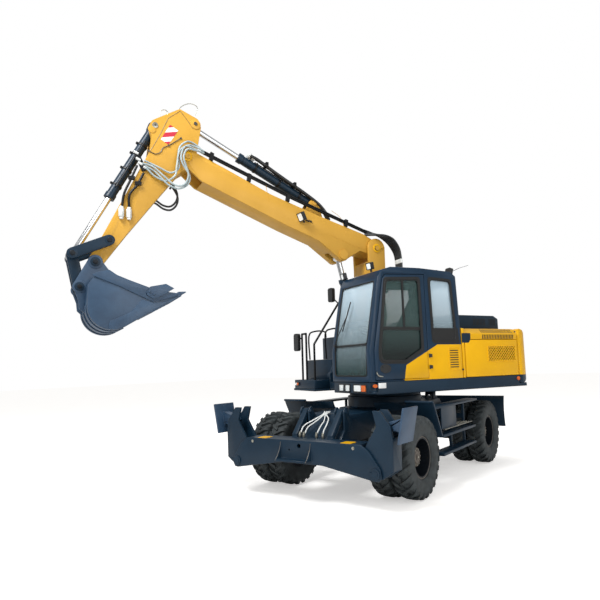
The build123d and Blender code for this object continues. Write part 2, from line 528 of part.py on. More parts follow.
with BuildPart() as upper_frame:
    level_plate(PLAN, UPPER_BOTTOM + 10, FLOOR_PLATE_TOP)
    bar((0, 0, RING_TOP), (0, 0, UPPER_BOTTOM + 20), RING_RADIUS)
    # skirt bands along both sides
    for y_low, y_high in both_sides(UPPER_HALF_WIDTH - 50, UPPER_HALF_WIDTH):
        side_plate([(-1900, UPPER_BOTTOM), (990, UPPER_BOTTOM), (990, DECK_Z), (BODY_REAR_X, DECK_Z),
                    (BODY_REAR_X, FLOOR_PLATE_TOP), (-1900, FLOOR_PLATE_TOP)], y_low, y_high)
    # cab base with its lamp recess
    block((-530, UPPER_FRONT_X), (CAB_RIGHT_Y + 10, UPPER_HALF_WIDTH - 50), (UPPER_BOTTOM + 40, DECK_Z))
    block((BODY_REAR_X, -600), (300, UPPER_HALF_WIDTH - 50), (UPPER_BOTTOM + 40, DECK_Z))
    block((BODY_REAR_X, 700), (-UPPER_HALF_WIDTH + 50, DECK_LEFT_Y), (UPPER_BOTTOM + 40, DECK_Z))
    # main plates that carry the boom foot and the lift cylinders
    for y_low, y_high in both_sides(MAIN_PLATE_IN, MAIN_PLATE_OUT, BOOM_Y):
        side_plate(MAIN_PLATE_SIDE, y_low, y_high)
    cross_pin(FOOT, PIN_RADIUS + 8, BOOM_Y - MAIN_PLATE_OUT - 15, BOOM_Y + MAIN_PLATE_OUT + 15)
    cross_pin(LIFT_BASE, PIN_RADIUS, BOOM_Y - LIFT_OFFSET - 60, BOOM_Y + LIFT_OFFSET + 60)
    cross_pin(LIFT_BASE, 60, BOOM_Y - MAIN_PLATE_OUT, BOOM_Y + MAIN_PLATE_OUT)
    block((640, 905), (BOOM_Y - 120, BOOM_Y + 120), (UPPER_BOTTOM + 40, 1460))
keep(upper_frame.part, "upper_frame", turned=True)

with BuildPart() as counterweight:
    weight_half = [(COUNTERWEIGHT_FRONT_X, UPPER_HALF_WIDTH - 7), (-1890, UPPER_HALF_WIDTH - 7)] + REAR_HALF[1:]
    level_plate(weight_half + [(x, -y) for x, y in reversed(weight_half)], FLOOR_PLATE_TOP, BODY_TOP)
keep(counterweight.part, "counterweight", turned=True)

# Cab: a hollow shell whose side outline leans as the windscreen does
CAB_SIDE = [(1105, DECK_Z), (CAB_FRONT_X, 1900), (925, 2900), (860, 3010), (700, CAB_TOP - 15),
            (200, CAB_TOP), (-400, CAB_TOP - 20), (-500, 2990), (CAB_REAR_X, 2000), (CAB_REAR_X, DECK_Z)]
CAB_INSIDE = [(1060, FLOOR_Z), (1064, 1900), (880, 2890), (825, 2975), (690, CAB_TOP - 60),
              (200, CAB_TOP - 48), (-390, CAB_TOP - 66), (-455, 2960), (-500, 2000), (-500, FLOOR_Z)]
DOOR_INSIDE_Y = UPPER_HALF_WIDTH - DOOR_THICKNESS
DOOR_OUTLINE = [(1020, 1500), (1030, 1900), (850, 2890), (800, 2950), (110, 2985), (100, 1500)]
DOOR_WINDOW = [(925, 1750), (930, 1900), (800, 2880), (215, 2915), (200, 1905), (510, 1740)]
RIGHT_WINDOW = [(930, 1800), (960, 1900), (820, 2880), (-380, 2915), (-440, 2040), (-440, 1800)]
WINDSCREEN_Y = (340, 1170)
BACK_WINDOW_Y = (400, 1110)
REAR_WINDOW = [(-10, 2020), (20, 2930), (-380, 2915), (-440, 2040)]
with BuildPart() as cab_shell:
    side_plate(CAB_SIDE, CAB_RIGHT_Y, UPPER_HALF_WIDTH)
    side_plate(CAB_INSIDE, CAB_RIGHT_Y + CAB_WALL, UPPER_HALF_WIDTH - CAB_WALL, Mode.SUBTRACT)
    # doorway, side windows, windscreen, rear window and roof hatch
    side_plate(DOOR_OUTLINE, DOOR_INSIDE_Y - SEAT_GAP, UPPER_HALF_WIDTH + 5, Mode.SUBTRACT, grow=6)
    side_plate(DOOR_OUTLINE, UPPER_HALF_WIDTH - CAB_WALL - 5, DOOR_INSIDE_Y, Mode.SUBTRACT, grow=-26)
    side_plate(REAR_WINDOW, UPPER_HALF_WIDTH - CAB_WALL - 5, UPPER_HALF_WIDTH + 5, Mode.SUBTRACT)
    side_plate(RIGHT_WINDOW, CAB_RIGHT_Y - 5, CAB_RIGHT_Y + CAB_WALL + 5, Mode.SUBTRACT)
    block((860, 1200), WINDSCREEN_Y, (1560, 2860), Mode.SUBTRACT)
    block((-620, -440), BACK_WINDOW_Y, (2060, 2860), Mode.SUBTRACT)
keep(cab_shell.part, "cab_shell", turned=True)

GLASS = 8
with BuildPart() as cab_glass:
    # windscreen in two panes, set in the front opening
    for z_low, z_high in ((1560, 1985), (1993, 2860)):
        side_plate([(CAB_FRONT_X - 26 - max(0, z_low - 1900) * 0.185, z_low),
                    (CAB_FRONT_X - 18 - max(0, z_low - 1900) * 0.185, z_low),
                    (CAB_FRONT_X - 18 - (z_high - 1900) * 0.185, z_high),
                    (CAB_FRONT_X - 26 - (z_high - 1900) * 0.185, z_high)], *WINDSCREEN_Y)
    side_plate(REAR_WINDOW, UPPER_HALF_WIDTH - 24, UPPER_HALF_WIDTH - 16)
    side_plate(RIGHT_WINDOW, CAB_RIGHT_Y + 16, CAB_RIGHT_Y + 24)
    side_plate([(-525, 2060), (-517, 2060), (-495, 2860), (-503, 2860)], *BACK_WINDOW_Y)
keep(cab_glass.part, "cab_glass", turned=True)

SEAT_Y = (CAB_RIGHT_Y + UPPER_HALF_WIDTH) / 2 + 29
SEAT_HALF = (UPPER_HALF_WIDTH - CAB_RIGHT_Y) * 0.267
CONSOLE_WIDTH = 90
with BuildPart() as driver_seat:
    block((-120, 420), (SEAT_Y - SEAT_HALF + 40, SEAT_Y + SEAT_HALF - 40), (FLOOR_Z, 1760))
    block((-80, 400), (SEAT_Y - SEAT_HALF, SEAT_Y + SEAT_HALF), (1760, 1880))
    side_plate([(-60, 1880), (60, 1880), (-60, 2560), (-150, 2600), (-180, 2560)],
               SEAT_Y - SEAT_HALF + 25, SEAT_Y + SEAT_HALF - 25)
    # a console each side of the seat, and the steering column
    for y_low, y_high in both_sides(SEAT_HALF + 10, SEAT_HALF + 10 + CONSOLE_WIDTH, SEAT_Y):
        block((-60, 420), (y_low, y_high), (FLOOR_Z, 2080))
    side_plate([(820, FLOOR_Z), (980, FLOOR_Z), (860, 2120), (800, 2120)], SEAT_Y - 80, SEAT_Y + 80)
keep(driver_seat.part, "driver_seat", turned=True)

with BuildPart() as cab_door:
    side_plate(DOOR_OUTLINE, DOOR_INSIDE_Y, UPPER_HALF_WIDTH)
    side_plate(DOOR_WINDOW, UPPER_HALF_WIDTH - 60, UPPER_HALF_WIDTH + 10, Mode.SUBTRACT)
keep(cab_door.part, "cab_door", turned=True)

with BuildPart() as cab_door_glass:
    side_plate(DOOR_WINDOW, UPPER_HALF_WIDTH - 24, UPPER_HALF_WIDTH - 16)
keep(cab_door_glass.part, "cab_door_glass", turned=True)

# Bodywork behind the cab and along the right side
PANEL = 40
DOOR_TOP = 2040
JAMB_Y = UPPER_HALF_WIDTH - PANEL - SEAT_GAP
POST_X = (-608, -560)
SHOULDER = [(UPPER_HALF_WIDTH, DOOR_TOP + 6), (UPPER_HALF_WIDTH, 2130),
            (UPPER_HALF_WIDTH - 82, BODY_TOP - SEAT_GAP), (UPPER_HALF_WIDTH - 252, BODY_TOP - SEAT_GAP),
            (UPPER_HALF_WIDTH - 252, BODY_TOP - 40), (UPPER_HALF_WIDTH - 102, BODY_TOP - 40),
            (UPPER_HALF_WIDTH - PANEL, 2110), (UPPER_HALF_WIDTH - PANEL, DOOR_TOP + 6)]
with BuildPart() as body_panels:
    # left post between cab and service door, shoulders, top deck, and the right tank and its steps
    block(POST_X, (300, UPPER_HALF_WIDTH), (DECK_Z, BODY_TOP - SEAT_GAP))
    deck_half = UPPER_HALF_WIDTH - 152
    block((BODY_REAR_X, POST_X[0]), (-deck_half, deck_half), (BODY_TOP - 40, BODY_TOP - SEAT_GAP))
    for sign in (1, -1):
        cross_plate([(sign * y, z) for y, z in SHOULDER], BODY_REAR_X, POST_X[0])
        for x_jamb in (BODY_REAR_X, POST_X[0] - 50):
            block((x_jamb, x_jamb + 50), sorted((sign * (JAMB_Y - 131), sign * JAMB_Y)),
                  (DECK_Z, BODY_TOP - 40))
    block((POST_X[0], 420), (-UPPER_HALF_WIDTH + 2, DECK_LEFT_Y), (DECK_Z, BODY_TOP))
    block((420, 760), (-UPPER_HALF_WIDTH + 2, DECK_LEFT_Y), (DECK_Z, 1820))
keep(body_panels.part, "body_panels", turned=True)

SERVICE_DOOR = [(BODY_REAR_X + 5, DECK_Z + 6), (-620, DECK_Z + 6), (-620, DOOR_TOP), (BODY_REAR_X + 5, DOOR_TOP)]
for hand, sign in (("left", 1), ("right", -1)):
    with BuildPart() as service_door:
        side_plate(SERVICE_DOOR, *sorted((sign * (UPPER_HALF_WIDTH - PANEL), sign * UPPER_HALF_WIDTH)))
    keep(service_door.part, "service_door_" + hand, turned=True)

HOOD_REAR_X = -1735
with BuildPart() as engine_hood:
    side_plate([(HOOD_REAR_X, BODY_TOP), (-700, BODY_TOP), (-720, BODY_TOP + 190), (-820, BODY_TOP + 240),
                (-1640, BODY_TOP + 240), (HOOD_REAR_X, BODY_TOP + 190)], -900, 900)
    side_plate([(-1705, BODY_TOP - 1), (-730, BODY_TOP - 1), (-750, BODY_TOP + 170), (-830, BODY_TOP + 210),
                (-1620, BODY_TOP + 210), (-1705, BODY_TOP + 170)], -870, 870, Mode.SUBTRACT)
keep(engine_hood.part, "engine_hood", turned=True)

with BuildPart() as engine_block:
    block((-1560, -980), (-560, 560), (DECK_Z, 2130))
keep(engine_block.part, "engine_block", turned=True)

with BuildPart() as front_deck:
    block((760, 1085), (-1080, DECK_LEFT_Y), (FLOOR_PLATE_TOP, UPPER_TOP + 10))
keep(front_deck.part, "front_deck", turned=True)

RAIL = 17
with BuildPart() as handrails:
    for y_rail in (-700, -850):
        bar((1040, y_rail, UPPER_TOP + 10), (1040, y_rail, 2260), RAIL)
    bar((1040, -700, 2260), (1040, -850, 2260), RAIL)
    rail_y = DECK_LEFT_Y - 45
    for start, end in (((1050, UPPER_TOP + 10), (1050, 2070)), ((1050, 2070), (560, 2760)),
                       ((560, 2760), (-300, 2760)), ((-300, 2760), (-300, BODY_TOP))):
        bar((start[0], rail_y, start[1]), (end[0], rail_y, end[1]), RAIL)
keep(handrails.part, "handrails", turned=True)

with BuildPart() as lamps:
    block((UPPER_FRONT_X, UPPER_FRONT_X + 12), (420, 560), (1370, 1430))
    block((UPPER_FRONT_X, UPPER_FRONT_X + 12), (660, 940), (1360, 1440))
    block((1085, 1097), (-1040, -900), (1400, 1450))
keep(lamps.part, "lamps", turned=True)

# Work equipment

def ring_of_points(centre, radius, start, end, count):
    """Points on an arc about a centre, from one angle to another."""
    step = (end - start) / (count - 1)
    return [(centre[0] + radius * cos(radians(start + step * k)),
             centre[1] + radius * sin(radians(start + step * k))) for k in range(count)]


def strap(start, end, half_width, y_low, y_high, mode=Mode.ADD):
    """A flat link with round ends between two pins."""
    angle = degrees(atan2(end[1] - start[1], end[0] - start[0]))
    outline = ring_of_points(start, half_width, angle + 90, angle + 270, 7) + \
        ring_of_points(end, half_width, angle - 90, angle + 90, 7)
    side_plate(outline, y_low, y_high, mode)


with BuildPart() as lower_boom:
    foot_part = ring_of_points(FOOT, 115, 180, 360, 9) + [(275, 2000), (285, 2100), (15, 2100), (25, 2000)]
    side_plate(foot_part, BOOM_Y - FOOT_HALF, BOOM_Y + FOOT_HALF)
    side_plate([(285, 2060), (340, 2500), (310, 3330), (0, 3330), (-80, 2500), (15, 2060)],
               BOOM_Y - LOWER_BOOM_HALF, BOOM_Y + LOWER_BOOM_HALF)
    side_plate([(310, 3150), (300, 3380), (0, 3380), (-20, 3150)], BOOM_Y - EAR_OUT, BOOM_Y + EAR_OUT)
    for y_low, y_high in both_sides(EAR_IN, EAR_OUT, BOOM_Y):
        side_plate([(305, 3250)] + ring_of_points(BOOM_PIVOT, 165, -10, 190, 11) + [(-10, 3250)],
                   y_low, y_high)
    cross_pin(BOOM_PIVOT, 230, BOOM_Y - EAR_IN, BOOM_Y + EAR_IN, Mode.SUBTRACT)
    cross_pin(BOOM_PIVOT, PIN_RADIUS, BOOM_Y - EAR_OUT - 25, BOOM_Y + EAR_OUT + 25)
    # lug pair of the adjusting cylinder, on the front face
    for y_low, y_high in both_sides(80, 112, BOOM_Y):
        side_plate([(260, 1960), (420, 2035), (495, 2110), (450, 2195), (300, 2420), (260, 2420)],
                   y_low, y_high)
    cross_pin(ADJUST_BASE, PIN_RADIUS, BOOM_Y - 124, BOOM_Y + 124)
    cross_pin(LIFT_TIP, 70, BOOM_Y - LIFT_OFFSET + 56, BOOM_Y + LIFT_OFFSET - 56)
    cross_pin(FOOT, PIN_RADIUS + 8 + PIN_CLEARANCE, BOOM_Y - 300, BOOM_Y + 300, Mode.SUBTRACT)
keep(lower_boom.part, "lower_boom", turned=True)

with BuildPart() as lift_barrels:
    for offset in (LIFT_OFFSET, -LIFT_OFFSET):
        barrel_pieces(LIFT_BASE, LIFT_TIP, 960, 58, 36, BOOM_Y + offset, 54, 70)
keep(lift_barrels.part, "lift_barrels", turned=True)

with BuildPart() as lift_rods:
    for offset in (LIFT_OFFSET, -LIFT_OFFSET):
        rod_pieces(LIFT_BASE, LIFT_TIP, 800, 36, BOOM_Y + offset, 54, 68)
keep(lift_rods.part, "lift_rods", turned=True)

FLANGE_TOP = [(3211, 4760), (2687, 4560), (1981, 4275), (1212, 4050), (366, 3830)]
UPPER_BOOM_SIDE = ring_of_points(BOOM_PIVOT, 130, 95, 250, 7) + [(440, 3545)] + \
    ring_of_points(ADJUST_TIP, 100, 215, 320, 5) + [(1197, 3647), (1741, 3831), (3043, 4325), (3300, 4545),
                                                    (3345, 4640), (3300, 4735)] + FLANGE_TOP
with BuildPart() as upper_boom:
    side_plate(UPPER_BOOM_SIDE, BOOM_Y - UPPER_BOOM_HALF, BOOM_Y + UPPER_BOOM_HALF)
    # room for the arm between the fork's plates, and for the adjusting rod's eye
    cross_pin(ARM_PIVOT, FORK_REACH, BOOM_Y - FORK_IN, BOOM_Y + FORK_IN, Mode.SUBTRACT)
    cross_pin(ADJUST_TIP, 210, BOOM_Y - 62, BOOM_Y + 62, Mode.SUBTRACT)
    cross_pin(ARM_PIVOT, PIN_RADIUS, BOOM_Y - UPPER_BOOM_HALF - 30, BOOM_Y + UPPER_BOOM_HALF + 30)
    cross_pin(BOOM_PIVOT, PIN_RADIUS + PIN_CLEARANCE, BOOM_Y - 200, BOOM_Y + 200, Mode.SUBTRACT)
    # lugs of the arm cylinder on the top flange
    for y_low, y_high in both_sides(76, 106, BOOM_Y):
        side_plate([(1060, 3990), (1400, 4090), (1290, 4290), (1217, 4345), (1140, 4290)], y_low, y_high)
    cross_pin(ARM_CYLINDER_BASE, PIN_RADIUS, BOOM_Y - 118, BOOM_Y + 118)
keep(upper_boom.part, "upper_boom", turned=True)

PIPE_ROUTE = [(3006, 4758), (2338, 4527), (1613, 4277), (294, 3878)]
PIPE_RADIUS = 11
PIPE_PITCH = 26
PIPE_IN = ARM_HALF + 19
CLAMP_IN = ARM_HALF + 6
CLAMP_OUT = PIPE_IN + PIPE_PITCH + PIPE_RADIUS + 3
CLAMP_HALF = 25


def flange_height(x):
    """The height of the upper boom's top flange at a place along it."""
    for front, back in zip(FLANGE_TOP, FLANGE_TOP[1:]):
        if back[0] <= x <= front[0]:
            return back[1] + (front[1] - back[1]) * (x - back[0]) / (front[0] - back[0])


with BuildPart() as boom_pipes:
    # two pairs of pipes above the top flange's left edge, clear of the arm's tail, in clamps that stand on it
    for offset_y in (PIPE_IN, PIPE_IN + PIPE_PITCH):
        for lift in (0, -PIPE_PITCH):
            with BuildLine() as route:
                FilletPolyline(*[(x, BOOM_Y + offset_y, z + lift) for x, z in PIPE_ROUTE], radius=400)
            with BuildSketch(Plane(origin=route.line @ 0, z_dir=route.line % 0)):
                Circle(PIPE_RADIUS)
            sweep(path=route.line)
    for x_clamp in (2900, 2338, 1720, 700):
        x_low, x_high = x_clamp - CLAMP_HALF, x_clamp + CLAMP_HALF
        side_plate([(x_low, flange_height(x_low) + SEAT_GAP), (x_high, flange_height(x_high) + SEAT_GAP),
                    (x_high - 20, flange_height(x_high) + 115), (x_low - 20, flange_height(x_low) + 115)],
                   BOOM_Y + CLAMP_IN, BOOM_Y + CLAMP_OUT)
keep(boom_pipes.part, "boom_pipes", turned=True)

with BuildPart() as adjust_barrel:
    barrel_pieces(ADJUST_BASE, ADJUST_TIP, 1010, 70, 45, BOOM_Y, 74)
keep(adjust_barrel.part, "adjust_barrel", turned=True)

with BuildPart() as adjust_rod:
    rod_pieces(ADJUST_BASE, ADJUST_TIP, 900, 45, BOOM_Y, 54)
keep(adjust_rod.part, "adjust_rod", turned=True)

ARM_SIDE = [(3015, 5150), (3045, 5235), (3120, 5262), (3325, 5330), (3600, 5120), (3735, 5060), (3752, 4960),
            (3700, 4860), (3725, 4650), (4311, 3420), (4465, 3130), (4470, 3060), (4420, 3005), (4345, 3005),
            (4290, 3065), (3990, 3505), (3630, 4000), (3320, 4415), (3170, 4520), (3100, 4620), (3085, 4750)]
with BuildPart() as arm:
    side_plate(ARM_SIDE, BOOM_Y - ARM_HALF, BOOM_Y + ARM_HALF)
    cross_pin(ARM_CYLINDER_TIP, 250, BOOM_Y - 62, BOOM_Y + 62, Mode.SUBTRACT)
    strap(BUCKET_CYLINDER_BASE, place_at(BUCKET_CYLINDER_BASE, LINK_PIN, 420), 92, BOOM_Y - 72, BOOM_Y + 72,
          Mode.SUBTRACT)
    cross_pin(BUCKET_CYLINDER_BASE, PIN_RADIUS, BOOM_Y - ARM_HALF - 20, BOOM_Y + ARM_HALF + 20)
    cross_pin(ARM_PIVOT, PIN_RADIUS + PIN_CLEARANCE, BOOM_Y - 200, BOOM_Y + 200, Mode.SUBTRACT)
    cross_pin(BUCKET_PIN, PIN_RADIUS + PIN_CLEARANCE, BOOM_Y - 200, BOOM_Y + 200, Mode.SUBTRACT)
    cross_pin(ROCKER_PIN, PIN_RADIUS, BOOM_Y - 215, BOOM_Y + 215)
keep(arm.part, "arm", turned=True)

with BuildPart() as arm_barrel:
    barrel_pieces(ARM_CYLINDER_BASE, ARM_CYLINDER_TIP, 1345, 66, 42, BOOM_Y, 70)
keep(arm_barrel.part, "arm_barrel", turned=True)

with BuildPart() as arm_rod:
    rod_pieces(ARM_CYLINDER_BASE, ARM_CYLINDER_TIP, 1300, 42, BOOM_Y, 54)
keep(arm_rod.part, "arm_rod", turned=True)

with BuildPart() as bucket_barrel:
    barrel_pieces(BUCKET_CYLINDER_BASE, LINK_PIN, 1190, 61, 38, BOOM_Y, 66)
keep(bucket_barrel.part, "bucket_barrel", turned=True)

with BuildPart() as bucket_rod:
    rod_pieces(BUCKET_CYLINDER_BASE, LINK_PIN, 1100, 38, BOOM_Y, 50, 68)
keep(bucket_rod.part, "bucket_rod", turned=True)


with BuildPart() as rocker_links:
    for y_low, y_high in both_sides(185, 212, BOOM_Y):
        strap(ROCKER_PIN, LINK_PIN, 68, y_low, y_high)
    for y_low, y_high in both_sides(60, 212, BOOM_Y):
        cross_pin(LINK_PIN, PIN_RADIUS, y_low, y_high)
    cross_pin(ROCKER_PIN, PIN_RADIUS + PIN_CLEARANCE, BOOM_Y - 230, BOOM_Y + 230, Mode.SUBTRACT)
keep(rocker_links.part, "rocker_links", turned=True)

with BuildPart() as bucket_link:
    for y_low, y_high in both_sides(64, 134, BOOM_Y):
        strap(LINK_PIN, BUCKET_LINK_PIN, 66, y_low, y_high)
    web_start = place_at(LINK_PIN, BUCKET_LINK_PIN, 250)
    strap(web_start, BUCKET_LINK_PIN, 50, BOOM_Y - 134, BOOM_Y + 134)
    cross_pin(LINK_PIN, PIN_RADIUS + PIN_CLEARANCE, BOOM_Y - 200, BOOM_Y + 200, Mode.SUBTRACT)
keep(bucket_link.part, "bucket_link", turned=True)

BUCKET_SHELL = [(3290, 2745), (3600, 2665), (3762, 2560), (3960, 2330), (4150, 2200), (4298, 2150),
                (4440, 2190), (4560, 2330), (4600, 2480), (4560, 2640), (4480, 2730), (4350, 2860),
                (4100, 2900)]
BUCKET_INSIDE = [(3290, 2775), (3620, 2695), (3790, 2585), (3985, 2360), (4165, 2232), (4298, 2185),
                 (4425, 2220), (4530, 2345), (4566, 2480), (4530, 2620), (4460, 2700), (4340, 2828),
                 (4100, 2866), (3300, 3100)]
with BuildPart() as bucket:
    side_plate(BUCKET_SHELL, BOOM_Y - BUCKET_HALF, BOOM_Y + BUCKET_HALF)
    side_plate(BUCKET_INSIDE, BOOM_Y - BUCKET_HALF + 28, BOOM_Y + BUCKET_HALF - 28, Mode.SUBTRACT)
    for y_low, y_high in both_sides(148, 176, BOOM_Y):
        side_plate(ring_of_points(BUCKET_PIN, 85, 0, 180, 7) + [(4180, 2840), (4350, 2790), (4480, 2680)] +
                   ring_of_points(BUCKET_LINK_PIN, 75, -60, 60, 4), y_low, y_high)
    cross_pin(BUCKET_PIN, PIN_RADIUS, BOOM_Y - 190, BOOM_Y + 190)
    for k in range(5):
        y_tooth = BOOM_Y - 440 + k * 220
        side_plate([(3290, 2735), (3130, 2748), (3290, 2790), (3400, 2770), (3400, 2700)], y_tooth - 35,
                   y_tooth + 35)
keep(bucket.part, "bucket", turned=True)

print(len(kept), "pieces")
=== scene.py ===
# %% [markdown]
# A wheeled excavator, dressed
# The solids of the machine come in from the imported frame, at their real size. This lesson gives them paint,
# rubber, glass and chrome, and adds what is too small for the solids: tread blocks, hoses, bolts, seams and
# lamp glasses. Everything is in metres, with +Z up and the ground at zero.

# %% Load the frame
import bpy
import bmesh
import json
import math
from mathutils import Matrix, Vector


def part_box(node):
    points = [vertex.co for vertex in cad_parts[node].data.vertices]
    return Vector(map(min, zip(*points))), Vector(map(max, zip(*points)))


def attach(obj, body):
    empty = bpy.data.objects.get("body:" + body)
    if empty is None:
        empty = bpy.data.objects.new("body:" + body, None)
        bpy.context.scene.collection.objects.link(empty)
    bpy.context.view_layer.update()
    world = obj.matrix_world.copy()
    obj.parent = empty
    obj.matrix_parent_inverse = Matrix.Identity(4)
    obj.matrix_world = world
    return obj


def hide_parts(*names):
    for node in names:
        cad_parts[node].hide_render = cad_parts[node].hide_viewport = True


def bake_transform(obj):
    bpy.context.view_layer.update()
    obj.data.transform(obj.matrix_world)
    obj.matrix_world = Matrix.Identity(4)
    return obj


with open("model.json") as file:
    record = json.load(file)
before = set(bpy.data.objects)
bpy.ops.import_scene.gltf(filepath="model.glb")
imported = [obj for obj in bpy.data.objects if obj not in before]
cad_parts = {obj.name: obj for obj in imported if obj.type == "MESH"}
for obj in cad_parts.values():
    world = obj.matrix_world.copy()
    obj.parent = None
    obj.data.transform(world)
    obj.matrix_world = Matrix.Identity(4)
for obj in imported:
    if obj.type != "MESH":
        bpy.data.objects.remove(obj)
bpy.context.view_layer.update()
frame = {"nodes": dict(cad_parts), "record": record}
NODES = frame["nodes"]
RECORD = frame["record"]

# %% [markdown]
# The upper structure stands slewed, so its pieces are drawn looking along +X and are then turned about Z.
# The pins of the boom, arm and bucket are the positions of the joints, read from the record and turned
# back.

# %% Pins and the slewed frame
SLEW = math.radians(-26.68)
TURN = Matrix.Rotation(SLEW, 4, "Z")
TURN_BACK = Matrix.Rotation(-SLEW, 4, "Z")
JOINTS = {j["name"]: j for j in RECORD["behaviour"]["joints"]}
BODY_OF = {name: body for body, names in RECORD["behaviour"]["bodies"].items() for name in names}
SLOTS = {row["node"]: row["material_slot"] for row in RECORD["subparts"]}
ARM_PIVOT, BOOM_PIVOT, BUCKET_PIN = [TURN_BACK @ Vector(JOINTS[joint]["pos_m"])
                                     for joint in ("arm_swing", "boom_adjust", "bucket_curl")]
BOOM_Y = ARM_PIVOT.y
print("arm pivot", ARM_PIVOT, "boom plane", round(BOOM_Y, 3))

# %% [markdown]
# Finishes. A paint maker gives colours as sRGB, and a renderer adds light in linear values, so one function
# turns the hex codes. The others add one node with its inputs, the result of one sum and a mix of two
# colours.

# %% Colour and node helpers
MIX_COLOUR, MIX_RESULT = 6, 2


def linear(code):
    """An sRGB hex code as a linear RGBA colour."""
    parts = [int(code[k:k + 2], 16) / 255 for k in (1, 3, 5)]
    return [c / 12.92 if c <= 0.04045 else ((c + 0.055) / 1.055) ** 2.4 for c in parts] + [1.0]


def node(tree, kind, links=(), values=(), **settings):
    """Adds one node: its settings, its input values and the links that feed it."""
    made = tree.nodes.new(kind)
    for name, value in settings.items():
        setattr(made, name, value)
    for name, value in dict(values).items():
        made.inputs[name].default_value = value
    for name, source in dict(links).items():
        tree.links.new(source, made.inputs[name])
    return made


def calc(tree, operation, *terms):
    """The result of one maths node, whose terms are numbers or other results."""
    numbers = {k: term for k, term in enumerate(terms) if isinstance(term, (int, float))}
    sources = {k: term for k, term in enumerate(terms) if k not in numbers}
    return node(tree, "ShaderNodeMath", sources, numbers, operation=operation).outputs[0]


def mixed(tree, share, *colours):
    """A mix of two colours, each a hex code or another result."""
    codes = {k: linear(colour) for k, colour in enumerate(colours, MIX_COLOUR) if isinstance(colour, str)}
    sources = {k: colour for k, colour in enumerate(colours, MIX_COLOUR) if k not in codes}
    return node(tree, "ShaderNodeMix", {0: share, **sources}, codes, data_type="RGBA").outputs[MIX_RESULT]


print("helpers for nodes ready")

# %% [markdown]
# Every finish starts as one shader with the object's own coordinates. Real surfaces are never one flat
# colour, so a soft noise drifts between two close shades, and a second, finer one gives the relief.

# %% Material helpers
MOTTLE_STOPS = (0.35, 0.65)


def new_material(name, values):
    """A material with one Principled shader that takes the values, and its object's coordinates."""
    made = bpy.data.materials.new(name)
    made.use_nodes = True
    tree = made.node_tree
    tree.nodes.clear()
    shader = node(tree, "ShaderNodeBsdfPrincipled", (), values)
    node(tree, "ShaderNodeOutputMaterial", {"Surface": shader.outputs["BSDF"]})
    return made, tree, shader, node(tree, "ShaderNodeTexCoord").outputs["Object"]


def mottled(tree, colours, size_mm, coords, detail=4.0):
    """A soft noise between two colours, with patches of about size_mm: its colour and its grey."""
    noise = node(tree, "ShaderNodeTexNoise", {"Vector": coords},
                 {"Scale": 1000.0 / size_mm, "Detail": detail, "Roughness": 0.55})
    ramp = node(tree, "ShaderNodeValToRGB", {"Fac": noise.outputs["Fac"]})
    for stop, place, code in zip(ramp.color_ramp.elements, MOTTLE_STOPS, colours):
        stop.position = place
        stop.color = linear(code)
    return ramp.outputs["Color"], noise.outputs["Fac"]


def bumped(tree, shader, coords, size_mm, height_mm):
    """Fine relief of about size_mm across and height_mm deep on a shader."""
    texture = node(tree, "ShaderNodeTexNoise", {"Vector": coords}, {"Scale": 1000.0 / size_mm})
    relief = node(tree, "ShaderNodeBump", {"Height": texture.outputs["Fac"]},
                  {"Strength": 1.0, "Distance": height_mm * 0.001})
    tree.links.new(relief.outputs["Normal"], shader.inputs["Normal"])


def plain(name, colours, patch_mm, values, grain=None, detail=4.0):
    """A material of two close shades in soft patches. grain is the width and depth of its relief in mm."""
    made, tree, shader, coords = new_material(name, values)
    tree.links.new(mottled(tree, colours, patch_mm, coords, detail)[0], shader.inputs["Base Color"])
    if grain:
        bumped(tree, shader, coords, *grain)
    return made


print("helpers for materials ready")

# %% [markdown]
# Most of the machine is sprayed with two-part enamel over welded plate. The gloss is high, the film has a
# faint orange peel, and dust dulls it in soft patches. The same recipe serves the yellow and the slate
# blue.

# %% Enamels
PATCH_MM = 420
PEEL_MM = (7, 0.02)
YELLOW_PAIR = ("#E2AA00", "#DBA400")
SLATE_PAIR = ("#0F2434", "#13293A")
CAB_PAIR = ("#10283C", "#142E44")


def enamel(name, colours, roughness):
    """Sprayed enamel: two close shades in large patches, a varying gloss and fine orange peel."""
    made, tree, shader, coords = new_material(
        name, {"Coat Weight": 0.05, "Coat Roughness": 0.12, "Specular IOR Level": 0.22})
    colour, grey = mottled(tree, colours, PATCH_MM, coords)
    gloss = node(tree, "ShaderNodeMapRange", {"Value": grey},
                 {"From Min": 0.3, "From Max": 0.7, "To Min": roughness, "To Max": roughness + 0.12})
    tree.links.new(colour, shader.inputs["Base Color"])
    tree.links.new(gloss.outputs["Result"], shader.inputs["Roughness"])
    bumped(tree, shader, coords, *PEEL_MM)
    return made


YELLOW = enamel("enamel_yellow", YELLOW_PAIR, 0.34)
# The boom, the arm and their fittings take a duller, darker copy of the same yellow enamel. The difference is
# painted shade: it is the yellow as it looks where the light falls on the boom, not another paint.
BOOM_YELLOW_PAINTED_SHADE = enamel("enamel_yellow_boom_painted_shade", ("#C9993C", "#C29336"), 0.36)
SLATE = enamel("enamel_slate", SLATE_PAIR, 0.34)
DARK = enamel("enamel_dark", ("#0F141A", "#141A20"), 0.42)
# The same black also paints the shade in the right side's slots.
BLACK = enamel("enamel_black_and_slot_shade", ("#0A0C0F", "#101214"), 0.34)
HUB_CAST = enamel("hub_casting", ("#6B645D", "#5A544E"), 0.46)
print("enamels", [m.name for m in (YELLOW, BOOM_YELLOW_PAINTED_SHADE, SLATE, DARK, BLACK, HUB_CAST)])

# %% [markdown]
# Three solids are sprayed in two colours. A mask chooses between them by the place in the upper structure's
# own frame: the cab's yellow corner lies below a line that falls to the front and behind a slanting post,
# the tank's panels are slate on the right, and so is the foot of the counterweight.

# %% Enamels of two colours


